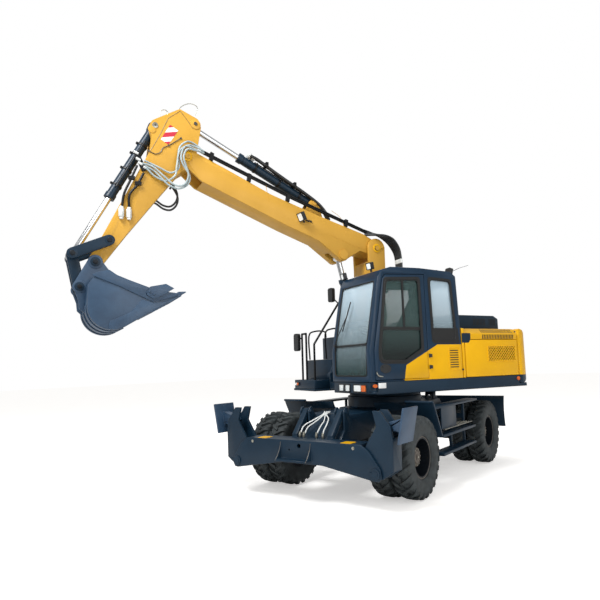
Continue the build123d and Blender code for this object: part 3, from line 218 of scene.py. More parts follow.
def two_colours(name, above, below, mask_of, roughness=0.34, specular=0.22):
    """Enamel that changes to its second pair of shades where the mask says."""
    made, tree, shader, coords = new_material(
        name, {"Roughness": roughness, "Coat Weight": 0.05, "Specular IOR Level": specular})
    back = node(tree, "ShaderNodeVectorRotate", {"Vector": coords}, {"Angle": -SLEW}, rotation_type="Z_AXIS")
    place = node(tree, "ShaderNodeSeparateXYZ", {"Vector": back.outputs[0]})
    mask = mask_of(tree, *place.outputs)
    paints = [mottled(tree, pair, PATCH_MM, coords)[0] for pair in (above, below)]
    tree.links.new(mixed(tree, mask, *paints), shader.inputs["Base Color"])
    bumped(tree, shader, coords, *PEEL_MM)
    return made


def cab_corner(tree, x, y, z):
    """The left flank of the cab, below its falling line and behind its slanting post."""
    ahead = calc(tree, "MAXIMUM", calc(tree, "ADD", x, 0.08), 0.0)
    lower = calc(tree, "LESS_THAN", z, calc(tree, "MULTIPLY_ADD", ahead, -0.483, 1.972))
    behind = calc(tree, "LESS_THAN", x, calc(tree, "MULTIPLY_ADD", z, -0.20, 0.838))
    outside = calc(tree, "GREATER_THAN", y, 1.195)
    return calc(tree, "MULTIPLY", calc(tree, "MULTIPLY", lower, behind), outside)


def tank_side(tree, x, y, z):
    """The panels right of the boom and ahead of the engine."""
    return calc(tree, "MULTIPLY", calc(tree, "LESS_THAN", y, -0.30), calc(tree, "GREATER_THAN", x, -0.60))


def weight_foot(tree, x, y, z):
    """The lower band of the counterweight."""
    return calc(tree, "LESS_THAN", z, 1.484)


TWO_TONE = two_colours("enamel_two_tone", CAB_PAIR, YELLOW_PAIR, cab_corner, 0.28, 0.25)
PANELS = two_colours("enamel_panels", YELLOW_PAIR, SLATE_PAIR, tank_side)
WEIGHT = two_colours("enamel_counterweight", YELLOW_PAIR, SLATE_PAIR, weight_foot)
print("enamels of two colours", [m.name for m in (TWO_TONE, PANELS, WEIGHT)])

# %% [markdown]
# The bucket's enamel is scuffed by earth. Scratches run one way, so the noise is stretched along one axis
# before it is cut to a narrow band.

# %% Scuffed enamel


def scuffed(name, colours, bare, amount):
    """Enamel that is rubbed to bare metal in streaks."""
    made, tree, shader, coords = new_material(name, {"Roughness": 0.42})
    stretched = node(tree, "ShaderNodeMapping", {"Vector": coords}, {"Scale": (14.0, 14.0, 2.2)})
    streaks = node(tree, "ShaderNodeTexNoise", {"Vector": stretched.outputs["Vector"]},
                   {"Scale": 2.4, "Detail": 8.0, "Roughness": 0.7})
    mask = node(tree, "ShaderNodeMapRange", {"Value": streaks.outputs["Fac"]},
                {"From Min": amount, "From Max": amount + 0.08}).outputs["Result"]
    colour = mixed(tree, mask, mottled(tree, colours, 160, coords)[0], bare)
    tree.links.new(colour, shader.inputs["Base Color"])
    tree.links.new(mask, shader.inputs["Metallic"])
    bumped(tree, shader, coords, 11, 0.06)
    return made


BUCKET_PAINT = scuffed("enamel_slate_scuffed", ("#263D55", "#2D465F"), "#66727D", 0.70)
print("scuffed enamel", BUCKET_PAINT.name)

# %% [markdown]
# Rods are ground steel under hard chrome, which mirrors everything. Pins, bolts and unions are zinc plated,
# duller and faintly yellow. All are metals, so the colour is the colour of the reflection.

# %% Metals


def metal(name, colours, roughness, grain=(2.5, 0.01)):
    """A bare or plated metal with a little colour drift and fine tooling marks."""
    return plain(name, colours, 60, {"Metallic": 1.0, "Roughness": roughness}, grain)


CHROME = metal("hard_chrome", ("#D8DADB", "#C9CCCE"), 0.12)
ZINC = metal("zinc_plate", ("#B9B8AE", "#9C9A8E"), 0.34)
WORN_STEEL = metal("worn_steel", ("#6E6C68", "#524F4B"), 0.5, (8, 0.08))
MIRROR_GLASS = metal("mirror_glass", ("#C9D3D6", "#BCC7CB"), 0.06)
print("metals", [m.name for m in (CHROME, ZINC, WORN_STEEL, MIRROR_GLASS)])

# %% [markdown]
# Tyre rubber is nearly black but chalks to a grey bloom, and it never shines. Hose rubber is smoother and
# darker. The same recipe serves cloth, moulded plastic, the white sleeves of unions and the lenses, which
# are clear plastic over a bright reflector and so nearly white, amber or red.

# %% Rubber, plastic and lenses


def rubber(name, colours, roughness, grain):
    """Rubber, cloth or moulded plastic: a mottled bloom and a fine grain."""
    return plain(name, colours, 90, {"Roughness": roughness}, grain, 6.0)


TYRE = rubber("tyre_rubber", ("#23282A", "#343B3D"), 0.72, (5, 0.15))
HOSE = rubber("hose_rubber", ("#1B1D1F", "#26292B"), 0.5, (2, 0.03))
GREY_HOSE = rubber("hose_sleeve_grey", ("#A9B5B6", "#8B9A9D"), 0.45, (3, 0.05))
# The same near-black rubber also paints the shade in the slots and openings of the panels.
SEAL_AND_OPENING_SHADE = rubber("seal_rubber_and_opening_shade", ("#060708", "#0B0C0D"), 0.55, (3, 0.05))
PLASTIC = rubber("moulded_plastic_black", ("#15171A", "#1C1F22"), 0.48, (2, 0.04))
SEAT_CLOTH = rubber("seat_cloth", ("#2E3A33", "#25302A"), 0.85, (2.5, 0.25))
PIPING = rubber("seat_piping", ("#101214", "#17191B"), 0.6, (2, 0.05))
UNION = rubber("union_white", ("#E4E6E4", "#C9CDCB"), 0.30, (4, 0.05))
LENS = rubber("lamp_lens_clear", ("#F2F5F4", "#DDE3E4"), 0.12, (6, 0.10))
AMBER = rubber("lens_amber", ("#D9661C", "#C2540F"), 0.22, (5, 0.05))
RED_LENS = rubber("lens_red", ("#B6281C", "#9C1D14"), 0.22, (5, 0.05))
PLATE_WHITE = rubber("plate_white", ("#ECEDEC", "#E1E3E3"), 0.35, (6, 0.02))
print("materials", len(bpy.data.materials))

# %% [markdown]
# Cab glass is tinted laminated glass. Its colour and its clearness fade from the foot of a pane to its top,
# as the sun band and the mirrored sky make them look: the tint is the glass's own, and the paler top is a
# painted reflection of the sky. The door's lower pane is smoked evenly.

# %% Glass


def smoked(name, tint, clear):
    """An evenly tinted pane that lets through a share of the light."""
    values = {"Roughness": 0.03, "Alpha": 1.0 - clear, "Specular IOR Level": 0.8}
    made = plain(name, (tint, tint), 300, values)
    made.blend_method = "BLEND"
    return made


def faded(name, tint_and_reflection, heights, clear):
    """A pane whose colour and clearness fade between two heights; the upper colour is a painted reflection.
    """
    made, tree, shader, coords = new_material(name, {"Roughness": 0.03, "Specular IOR Level": 0.6})
    height = node(tree, "ShaderNodeSeparateXYZ", {"Vector": coords}).outputs["Z"]
    span = {"From Min": heights[0], "From Max": heights[1]}
    share = node(tree, "ShaderNodeMapRange", {"Value": height}, span)
    alpha = node(tree, "ShaderNodeMapRange", {"Value": height},
                 {**span, "To Min": 1 - clear[0], "To Max": 1 - clear[1]})
    tree.links.new(mixed(tree, share.outputs["Result"], *tint_and_reflection), shader.inputs["Base Color"])
    tree.links.new(alpha.outputs["Result"], shader.inputs["Alpha"])
    made.blend_method = "BLEND"
    return made


SMOKED_GLASS = smoked("smoked_glass", "#101A1B", 0.30)
# The pale blue at the top of the cab's panes and the lighter grey at the top of the door's window are painted
# reflections of the sky over a darker tint.
GLASS_PAINTED_SKY_REFLECTION = faded("glass_painted_sky_reflection", ("#2C4A4A", "#CDE4F2"), (1.60, 2.75), (0.62, 0.52))
DOOR_GLASS_PAINTED_REFLECTION = faded("tinted_glass_painted_reflection", ("#0F1C1B", "#55706E"), (1.85, 2.60), (0.30, 0.74))
print("glass", [m.name for m in (SMOKED_GLASS, GLASS_PAINTED_SKY_REFLECTION, DOOR_GLASS_PAINTED_REFLECTION)])

# %% [markdown]
# Each solid takes the finish of its record slot, and a few that the record lumps together take their own.

# %% Dress the solids
FINISH = {"yellow_paint": YELLOW, "slate_paint": SLATE, "bucket_paint": BUCKET_PAINT, "tyre_rubber": TYRE,
          "rim_paint": DARK, "chromed_rod": CHROME, "seat_cloth": SEAT_CLOTH, "lamp_lens": PLASTIC,
          "dark_steel": DARK}
OWN_FINISH = {"cab_shell": TWO_TONE, "cab_door": TWO_TONE, "body_panels": PANELS, "counterweight": WEIGHT,
              # The glass of the cab and of the door carries a painted reflection of the sky at its top.
              "cab_glass": GLASS_PAINTED_SKY_REFLECTION, "cab_door_glass": DOOR_GLASS_PAINTED_REFLECTION, "upper_frame": SLATE, "handrails": BLACK,
              # The booms and the arm take the darker copy of the yellow, whose difference from the body's
              # yellow is painted shade.
              "engine_block": DARK, "lower_boom": BOOM_YELLOW_PAINTED_SHADE, "upper_boom": BOOM_YELLOW_PAINTED_SHADE, "arm": BOOM_YELLOW_PAINTED_SHADE,
              "axle_front": DARK, "axle_rear": DARK, "boom_pipes": BLACK}
for name, solid in NODES.items():
    finish = OWN_FINISH.get(name) or FINISH[SLOTS[name]]
    solid.data.materials.clear()
    solid.data.materials.append(finish)
print("dressed", len(NODES), "solids")

# %% [markdown]
# Small pieces are built as meshes from a few plain shapes: outlines pushed between two planes, tubes,
# discs, bands and beads. Each helper adds one shape to an open mesh, and all of them join rings of corners.

# %% Shape helpers
# which of x, y and z the two axes of an outline and the third one are, for each plane
PLACE = {"xz": lambda u, v, w: (u, w, v), "yz": lambda u, v, w: (w, u, v), "xy": lambda u, v, w: (u, v, w)}


def turns(count):
    """Even steps round a full turn."""
    return [2 * math.pi * k / count for k in range(count)]


def skin(bm, rings, closed=False):
    """Joins each ring of corners to the next one, and the last to the first if they close."""
    for first, second in zip(rings, rings[1:] + rings[:1] if closed else rings[1:]):
        for j, corner in enumerate(first):
            after = (j + 1) % len(first)
            bm.faces.new([corner, first[after], second[after], second[j]])


def prism(bm, outline, plane, low, high):
    """Pushes a closed outline between two planes. plane names its two axes, as "xz"."""
    ends = [[bm.verts.new(PLACE[plane](u, v, w)) for u, v in outline] for w in (low, high)]
    bm.faces.new(ends[0])
    bm.faces.new(list(reversed(ends[1])))
    skin(bm, ends)


def block(bm, x, y, z):
    """A block between pairs of x, y and z."""
    prism(bm, rectangle(*x, *y), "xy", *z)


def round_ring(bm, here, side, other, radius, sides):
    """Corners round a place, in the plane of two directions."""
    return [bm.verts.new(here + radius * (math.cos(a) * side + math.sin(a) * other)) for a in turns(sides)]


def tube(bm, points, radius, sides=10):
    """A round tube along points, with closed ends."""
    points = [Vector(p) for p in points]
    rings = []
    side = None
    for k, here in enumerate(points):
        ahead = (points[min(k + 1, len(points) - 1)] - points[max(k - 1, 0)]).normalized()
        side = side or ahead.orthogonal().normalized()
        side = (side - ahead * side.dot(ahead)).normalized()
        rings.append(round_ring(bm, here, side, ahead.cross(side), radius, sides))
    skin(bm, rings)
    bm.faces.new(list(reversed(rings[0])))
    bm.faces.new(rings[-1])


def disc(bm, centre, axis, radius, depth, sides=24):
    """A round plate or head that stands depth off its centre along an axis."""
    centre = Vector(centre)
    tube(bm, [centre, centre + Vector(axis).normalized() * depth], radius, sides)


def band(bm, outer, inner, plane, low, high):
    """A flat ring between two outlines of equally many points."""
    skin(bm, [[bm.verts.new(PLACE[plane](u, v, w)) for u, v in path]
              for path, w in ((outer, low), (outer, high), (inner, high), (inner, low))], closed=True)


def bead(bm, points, radius, sides=8):
    """A closed round bead along points that lie in one plane."""
    points = [Vector(p) for p in points]
    count = len(points)
    flat = (points[count // 3] - points[0]).cross(points[2 * count // 3] - points[0]).normalized()
    rings = []
    for k, here in enumerate(points):
        ahead = (points[(k + 1) % count] - points[k - 1]).normalized()
        rings.append(round_ring(bm, here, ahead.cross(flat).normalized(), flat, radius, sides))
    skin(bm, rings, closed=True)


print("shape helpers ready")

# %% [markdown]
# Outlines with rounded corners, rectangles, ovals and smooth paths come up again and again, so they get a
# helper each. The left flank lies at one y, so a sheet that lies on it needs only its outline and its
# thickness.

# %% Outline helpers
SIDE = 1.252
CORNER_STEPS = 5


def rounded(outline, radius=0.0, rounds=None):
    """A closed outline with a curve at each corner. rounds gives another radius for some corners."""
    points = []
    for k, corner in enumerate(outline):
        here = Vector(corner)
        back = Vector(outline[k - 1]) - here
        ahead = Vector(outline[(k + 1) % len(outline)]) - here
        wanted = (rounds or {}).get(k, radius)
        cut = min(wanted / math.tan(back.angle(ahead) / 2), 0.49 * back.length, 0.49 * ahead.length)
        if cut < 0.0005:
            points.append(tuple(here))
            continue
        start = here + back.normalized() * cut
        end = here + ahead.normalized() * cut
        for t in [j / CORNER_STEPS for j in range(CORNER_STEPS + 1)]:
            points.append(tuple(start * (1 - t) ** 2 + here * 2 * t * (1 - t) + end * t * t))
    return points


def rectangle(u_low, u_high, v_low, v_high, corner=0.0):
    """A rectangle, with rounded corners if they are given a radius."""
    corners = [(u_low, v_low), (u_high, v_low), (u_high, v_high), (u_low, v_high)]
    return rounded(corners, corner) if corner else corners


def oval(centre, radius, height=None, sides=32):
    """A circle, or an oval with half its height given."""
    return [(centre[0] + radius * math.cos(a), centre[1] + (height or radius) * math.sin(a))
            for a in turns(sides)]


def inset(outline, amount):
    """An outline moved in by an amount, corner for corner."""
    pairs = zip(outline[-1:] + outline[:-1], outline)
    area = sum(before[0] * here[1] - here[0] * before[1] for before, here in pairs)
    hand = 1 if area > 0 else -1
    moved = []
    for k, corner in enumerate(outline):
        here = Vector(corner)
        back = (here - Vector(outline[k - 1])).normalized()
        ahead = (Vector(outline[(k + 1) % len(outline)]) - here).normalized()
        inward = Vector((-back.y - ahead.y, back.x + ahead.x)) * hand
        inward = inward.normalized() / max(0.35, math.cos(back.angle(ahead) / 2))
        moved.append(tuple(here + inward * amount))
    return moved


def smooth(points, per=6):
    """A smooth path through points, as a hose lies."""
    points = [Vector(p) for p in points]
    padded = [2 * points[0] - points[1]] + points + [2 * points[-1] - points[-2]]
    path = []
    for a, b, c, d in zip(padded, padded[1:], padded[2:], padded[3:]):
        for t in [k / per for k in range(per)]:
            path.append(0.5 * (2 * b + (c - a) * t + (2 * a - 5 * b + 4 * c - d) * t * t
                               + (3 * b - a - 3 * c + d) * t ** 3))
    return path + [points[-1]]


def on_side(outline, y=SIDE):
    """An (x, z) outline as points on an upright plane."""
    return [(x, y, z) for x, z in outline]


def sheet(bm, outline, out):
    """A flat piece on the left flank, out to a height above it."""
    prism(bm, outline, "xz", SIDE - 0.001, SIDE + out)


def hose(bm, points, radius, sides=10, per=6):
    """A tube that lies in a smooth curve through points."""
    tube(bm, smooth(points, per), radius, sides)


print("outline helpers ready")

# %% [markdown]
# A piece is listed as its parts, each a shape helper followed by its values. The mesh is eased along its
# sharp edges, turned with the upper structure if it stands there, given its finish and set to ride a body.

# %% Pieces from parts
SHARP = math.radians(28)
SOFT = math.radians(35)


def add_parts(bm, parts):
    """Adds parts to an open mesh."""
    for add, *values in parts:
        add(bm, *values)


def placed(bm, matrix, *parts):
    """Adds parts that are drawn at the origin and then moved by a matrix."""
    before = len(bm.verts)
    add_parts(bm, parts)
    bm.verts.ensure_lookup_table()
    bmesh.ops.transform(bm, matrix=matrix, verts=bm.verts[before:])


def eased(bm, width, least=2.4, segments=2):
    """Rounds the sharp edges of an open mesh that are longer than least times the width."""
    sharp = [edge for edge in bm.edges if edge.is_manifold and edge.calc_length() > least * width
             and edge.calc_face_angle() > SHARP]
    bmesh.ops.bevel(bm, geom=sharp, offset=width, offset_type="OFFSET", segments=segments, profile=0.5,
                    affect="EDGES", clamp_overlap=False)


def piece(name, bm, finish, body, turned=True):
    """Closes a mesh as an object with a finish that rides a body."""
    if turned:
        bm.transform(TURN)
    bmesh.ops.recalc_face_normals(bm, faces=bm.faces)
    mesh = bpy.data.meshes.new(name)
    bm.to_mesh(mesh)
    bm.free()
    mesh.materials.clear()
    mesh.materials.append(finish)
    mesh.shade_smooth()
    mesh.set_sharp_from_angle(angle=SOFT)
    made = bpy.data.objects.new(name, mesh)
    bpy.context.scene.collection.objects.link(made)
    if body:
        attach(made, body)
    return made


def build(name, finish, body, *parts, ease=0.0, segments=2, turned=True):
    """A piece from its parts, with its sharp edges eased by a width."""
    bm = bmesh.new()
    add_parts(bm, parts)
    if ease:
        bmesh.ops.recalc_face_normals(bm, faces=bm.faces)
        eased(bm, ease, segments=segments)
    return piece(name, bm, finish, body, turned)


print("piece helpers ready")

# %% [markdown]
# Lugs, bolts and slots repeat, so one Geometry Nodes group lays copies of a piece: each copy is shifted and
# turned by one more step than the last. The result is baked to one plain mesh.

# %% Geometry Nodes: one group for rows and rings
STILL = (0, 0, 0)


def repeat_group():
    """Copies of a piece, each shifted and turned by one more step."""
    group = bpy.data.node_groups.new("repeat_by_steps", "GeometryNodeTree")
    sockets = {}
    for name, kind in (("Piece", "Object"), ("Count", "Int"), ("Shift", "Vector"), ("Turn", "Vector"),
                       ("Finish", "Material")):
        made = group.interface.new_socket(name, in_out="INPUT", socket_type="NodeSocket" + kind)
        sockets[name] = made.identifier
    group.interface.new_socket("Geometry", in_out="OUTPUT", socket_type="NodeSocketGeometry")
    given = node(group, "NodeGroupInput").outputs
    line = node(group, "GeometryNodeMeshLine", {"Count": given["Count"], "Offset": given["Shift"]})
    taken = node(group, "GeometryNodeObjectInfo", {"Object": given["Piece"]})
    index = node(group, "GeometryNodeInputIndex")
    turn = node(group, "ShaderNodeVectorMath", {0: given["Turn"], "Scale": index.outputs[0]},
                operation="SCALE")
    copies = node(group, "GeometryNodeInstanceOnPoints",
                  {"Points": line.outputs["Mesh"], "Instance": taken.outputs["Geometry"],
                   "Rotation": turn.outputs[0]})
    real = node(group, "GeometryNodeRealizeInstances", {"Geometry": copies.outputs["Instances"]})
    painted = node(group, "GeometryNodeSetMaterial",
                   {"Geometry": real.outputs["Geometry"], "Material": given["Finish"]})
    node(group, "NodeGroupOutput", {"Geometry": painted.outputs["Geometry"]})
    return group, sockets


REPEAT, SOCKET = repeat_group()


def repeated(bm, finish, count, shift, turn, *parts):
    """Adds the group's baked copies of some parts to an open mesh."""
    shape = bmesh.new()
    add_parts(shape, parts)
    bmesh.ops.recalc_face_normals(shape, faces=shape.faces)
    single = bpy.data.objects.new("single", bpy.data.meshes.new("single"))
    shape.to_mesh(single.data)
    shape.free()
    carrier = bpy.data.objects.new("carrier", bpy.data.meshes.new("carrier"))
    for helper in (single, carrier):
        bpy.context.scene.collection.objects.link(helper)
    modifier = carrier.modifiers.new("repeat", "NODES")
    modifier.node_group = REPEAT
    given = {"Piece": single, "Count": count, "Shift": shift, "Turn": turn, "Finish": finish}
    for name, value in given.items():
        modifier[SOCKET[name]] = value
    ready = carrier.evaluated_get(bpy.context.evaluated_depsgraph_get())
    bm.from_mesh(bpy.data.meshes.new_from_object(ready))
    for helper in (single, carrier):
        bpy.data.objects.remove(helper)


print("sockets", SOCKET)

# %% [markdown]
# Tyres. The solid is a plain ring, so a carcass with a rounded shoulder stands in for it, and heavy lugs
# are laid round it. A lug starts at the crown's middle, bends down over the shoulder and ends on the
# sidewall. Left and right lugs are half a pitch apart, as on an excavator's traction tyre, and point down
# in front.

# %% Tyre carcass and lug
LUGS = 24
TYRE_INSET = 0.134
CARCASS_STEPS = 96
HALF_PROFILE = [(0.262, 0.084), (0.270, 0.104), (0.296, 0.121), (0.340, 0.132), (0.400, 0.1355),
                (0.447, 0.132), (0.470, 0.125), (0.480, 0.113), (0.485, 0.096), (0.487, 0.05), (0.4875, 0.0)]
PROFILE = HALF_PROFILE + [(r, -y) for r, y in reversed(HALF_PROFILE[:-1])]
# columns: distance from the crown's middle, radius on top, radius at the foot, half width
LUG_PATH = [(-0.010, 0.521, 0.480, 0.019), (0.035, 0.521, 0.480, 0.021), (0.075, 0.519, 0.478, 0.024),
            (0.104, 0.512, 0.474, 0.027), (0.124, 0.497, 0.464, 0.031), (0.1355, 0.470, 0.444, 0.032),
            (0.1385, 0.438, 0.434, 0.030)]
SWEEP_BACK = 1.35


def carcass(bm, middle):
    """A tyre turned about Y at the origin."""
    skin(bm, [[bm.verts.new((r * math.cos(a), middle + y, r * math.sin(a))) for r, y in PROFILE]
              for a in turns(CARCASS_STEPS)], closed=True)


def lug(bm, middle, hand, phase):
    """One lug: sections along its path, wider at the foot than on top."""
    sections = []
    for y, top, foot, half in LUG_PATH:
        ahead = phase + SWEEP_BACK * max(0.0, y)
        section = []
        low, high = half + 0.004, half - 0.003
        for r, width in ((foot, low), (top, high), (top, -high), (foot, -low)):
            angle = ahead + width / r
            section.append(bm.verts.new((r * math.cos(angle), middle + hand * y, r * math.sin(angle))))
        sections.append(section)
    skin(bm, sections)
    bm.faces.new(sections[0])
    bm.faces.new(list(reversed(sections[-1])))


HUBS = {corner: Vector(JOINTS["wheel_spin_" + corner]["pos_m"])
        for corner in ("front_left", "front_right", "rear_left", "rear_right")}
for corner, hub in HUBS.items():
    low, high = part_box("tyres_" + corner)
    middles = (low[1] + TYRE_INSET - hub.y, high[1] - TYRE_INSET - hub.y)
    lugs = [(lug, middle, hand, phase)
            for middle in middles for hand, phase in ((1, 0.0), (-1, math.pi / LUGS))]
    made = build("dressed_tyres_" + corner, TYRE, "wheel_" + corner,
                 (placed, Matrix.Translation(hub), *[(carcass, middle) for middle in middles],
                  (repeated, TYRE, LUGS, STILL, (0, 2 * math.pi / LUGS, 0), *lugs)), turned=False)
    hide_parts("tyres_" + corner)
    print(made.name, "faces", len(made.data.polygons))

# %% [markdown]
# The discs of the rims carry a ring of wheel nuts, and the hubs of the planetary axles a ring of bolts.

# %% Wheel nuts
for corner, hub in HUBS.items():
    out = 1 if hub.y > 0 else -1
    build("wheel_nuts_" + corner, ZINC, "wheel_" + corner,
          (placed, Matrix.Translation((hub.x, out * 0.992, hub.z)),
           (repeated, ZINC, 10, STILL, (0, 2 * math.pi / 10, 0),
            (tube, [(0.186, out * -0.001, 0), (0.186, out * 0.026, 0)], 0.017, 6),
            (tube, [(0.186, out * 0.026, 0), (0.186, out * 0.040, 0)], 0.010, 8))),
          (placed, Matrix.Translation((hub.x, out * 1.110, hub.z)),
           (repeated, ZINC, 12, STILL, (0, 2 * math.pi / 12, 0),
            (tube, [(0.088, 0, 0), (0.088, out * 0.010, 0)], 0.010, 6))), turned=False)
print("wheel nuts on", len(HUBS), "hubs")

# %% [markdown]
# Hoses cross the boom's end to the arm. Each is a grey-green sleeved hose that leaves a pipe's end at the
# last clamp, loops beside the pivot and ends at a manifold on the arm.

# %% Hoses between boom and arm
HOSE_PATHS = [
    ((3.000, 0.104, 4.758), (3.099, 0.108, 4.835), (3.220, 0.112, 4.867), (3.326, 0.118, 4.777),
     (3.356, 0.124, 4.647), (3.345, 0.128, 4.497), (3.380, 0.130, 4.420), (3.474, 0.128, 4.374),
     (3.603, 0.124, 4.421), (3.800, 0.118, 4.492)),
    ((3.000, 0.130, 4.758), (3.095, 0.136, 4.792), (3.220, 0.142, 4.800), (3.345, 0.148, 4.690),
     (3.382, 0.150, 4.483), (3.405, 0.148, 4.342), (3.520, 0.142, 4.249), (3.662, 0.134, 4.287),
     (3.774, 0.122, 4.389)),
    ((3.000, 0.104, 4.732), (3.135, 0.150, 4.758), (3.271, 0.168, 4.764), (3.330, 0.175, 4.620),
     (3.306, 0.178, 4.504), (3.216, 0.178, 4.351), (3.246, 0.172, 4.225), (3.363, 0.162, 4.157),
     (3.492, 0.150, 4.192), (3.591, 0.140, 4.284), (3.675, 0.130, 4.362), (3.790, 0.120, 4.420)),
    ((3.000, 0.130, 4.732), (3.120, 0.172, 4.730), (3.250, 0.190, 4.720), (3.300, 0.196, 4.600),
     (3.270, 0.196, 4.480), (3.235, 0.192, 4.350), (3.290, 0.182, 4.215), (3.420, 0.168, 4.200),
     (3.560, 0.152, 4.310), (3.700, 0.136, 4.420), (3.830, 0.120, 4.450)),
]
for k, path in enumerate(HOSE_PATHS):
    made = build("boom_end_hose_%d" % (k + 1), GREY_HOSE, None, (hose, path, 0.013, 10, 7))
    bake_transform(made)
print("hoses", len(HOSE_PATHS))

# %% [markdown]
# Sheet metal is folded and plate is welded, so their edges are never as sharp as a solid's. Each painted
# solid is stood for by a piece made from it, whose long edges are rounded by a few millimetres and catch
# the light.

# %% Rounded edges
# columns: width in metres, the solids that take it
EDGE_WIDTHS = [
    (0.055, ("counterweight",)),
    (0.016, ("engine_hood",)),
    (0.006, ("cab_shell",)),
    (0.010, ("body_panels", "front_deck", "cab_door", "upper_frame", "service_door_left",
             "service_door_right")),
    (0.007, ("upper_boom", "lower_boom", "outrigger_beam", "outrigger_leg_left", "outrigger_leg_right",
             "outrigger_pad_left", "outrigger_pad_right", "chassis_frame", "dozer_blade")),
    (0.005, ("mudguards", "ladders", "bucket_link", "rocker_links")),
]


def rounded_edges(name, width):
    """Stands for a solid by its own shape with the long edges rounded."""
    solid = NODES[name]
    bm = bmesh.new()
    bm.from_mesh(solid.data)
    bmesh.ops.remove_doubles(bm, verts=bm.verts, dist=0.00003)
    bmesh.ops.dissolve_limit(bm, angle_limit=math.radians(0.5), verts=bm.verts, edges=bm.edges)
    eased(bm, width, 2.6)
    made = piece("rounded_" + name, bm, solid.data.materials[0], BODY_OF[name], turned=False)
    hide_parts(name)
    return made


for width, names in EDGE_WIDTHS:
    faces = {name: len(rounded_edges(name, width).data.polygons) for name in names}
    print("edges of", width, "on", faces)

# %% [markdown]
# Cab glazing. Each pane sits in a black rubber seal. The windows of the door and of the cab's rear quarter
# have a black printed border, and the door's window slides, so a bar divides it and a rail runs below its
# panes.

# %% Seals, borders and the sliding window
DOOR_WINDOW = [(0.925, 1.75), (0.93, 1.90), (0.80, 2.88), (0.215, 2.915), (0.20, 1.905), (0.51, 1.74)]
DOOR_ROUNDS = {0: 0.10, 1: 0.3, 2: 0.06, 3: 0.05, 4: 0.04, 5: 0.10}
REAR_WINDOW = [(-0.01, 2.02), (0.02, 2.93), (-0.38, 2.915), (-0.44, 2.04)]
SCREEN_LEAN = 0.185
build("door_window_seal", SEAL_AND_OPENING_SHADE, "cab_door",
      (band, rounded(inset(DOOR_WINDOW, -0.030), rounds=DOOR_ROUNDS),
       rounded(inset(DOOR_WINDOW, 0.022), rounds=DOOR_ROUNDS), "xz", SIDE - 0.002, SIDE + 0.003),
      (bead, on_side(rounded(DOOR_WINDOW, rounds=DOOR_ROUNDS), SIDE + 0.002), 0.007),
      (block, (0.218, 0.895), (SIDE - 0.020, SIDE - 0.004), (2.180, 2.222)),
      (block, (0.486, 0.516), (SIDE - 0.020, SIDE - 0.006), (2.222, 2.890)))
build("quarter_window_seal", SEAL_AND_OPENING_SHADE, "upper",
      (band, rounded(inset(REAR_WINDOW, -0.028), 0.06), rounded(inset(REAR_WINDOW, 0.02), 0.05), "xz",
       SIDE - 0.002, SIDE + 0.003),
      (bead, on_side(rounded(REAR_WINDOW, 0.055), SIDE + 0.002), 0.007),
      (sheet, rounded([(0.012, 2.21), (0.004, 2.05), (-0.07, 1.985), (-0.505, 1.985), (-0.485, 2.21)],
                      rounds={1: 0.05, 2: 0.05}), 0.0026))
build("door_lower_pane", SMOKED_GLASS, "cab_door",
      (prism, rounded([(0.905, 1.77), (0.912, 1.90), (0.876, 2.17), (0.222, 2.17), (0.216, 1.915),
                       (0.52, 1.762)], rounds={0: 0.08, 5: 0.08}), "xz", SIDE - 0.034, SIDE - 0.031))
screens = [rectangle(0.34, 1.17, low, high, 0.05) for low, high in ((1.560, 1.985), (1.993, 2.860))]
build("windscreen_seals", SEAL_AND_OPENING_SHADE, "upper",
      *[(bead, [(1.104 - max(0.0, z - 1.9) * SCREEN_LEAN, y, z) for y, z in screen], 0.010)
        for screen in screens])
build("wiper", PLASTIC, "upper",
      (tube, [(1.100, 0.36, 2.005), (1.122, 0.40, 2.06), (1.062, 0.66, 2.44)], 0.007, 6),
      (tube, [(1.106, 0.58, 2.20), (1.024, 0.70, 2.62)], 0.009, 6),
      (disc, (1.095, 0.36, 2.0), (1, 0, 0), 0.022, 0.03, 16))
print("glazing dressed")

# %% [markdown]
# The left flank breathes for the engine: black slots along its shoulder, a diamond mesh in the service door
# and a louvre beside the cab. They are not cut open: the black of the slots, of the sheet behind the mesh and
# of the louvre's strips is painted shade where the openings are.

# %% Openings of the left flank
SHOULDER_FOOT, SHOULDER_TOP = Vector((1.2500, 2.1300)), Vector((1.1680, 2.2145))
SHOULDER_OUT = Vector((0.0845, 0.0820)).normalized() * 0.0015
shoulder = [SHOULDER_FOOT.lerp(SHOULDER_TOP, share) + side * SHOULDER_OUT
            for share, side in ((0.15, -1), (0.15, 1), (0.85, 1), (0.85, -1))]
slots = []
for x in [-0.975 - k * 0.0345 for k in range(20)]:
    slots.append((sheet, [(x, 2.052), (x - 0.017, 2.052), (x - 0.031, 2.120), (x - 0.014, 2.120)], 0.0015))
    slots.append((prism, shoulder, "yz", x - 0.030, x - 0.014))
# The black slot sheets are painted shade in the openings.
build("flank_slots", SEAL_AND_OPENING_SHADE, "upper", *slots)


def diagonals(low_x, high_x, low_z, high_z, step):
    """Ends of the lines at 45 degrees that fill a rectangle."""
    ends = []
    start = low_x - (high_z - low_z)
    while start < high_x:
        x0, x1 = max(start, low_x), min(start + high_z - low_z, high_x)
        if x1 - x0 > 0.004:
            ends.append(((x0, low_z + x0 - start), (x1, low_z + x1 - start)))
        start += step
    return ends


MESH = (-1.68, -1.08, 1.71, 1.94)
mesh_frame = rectangle(MESH[1], MESH[0], MESH[2], MESH[3], 0.02)
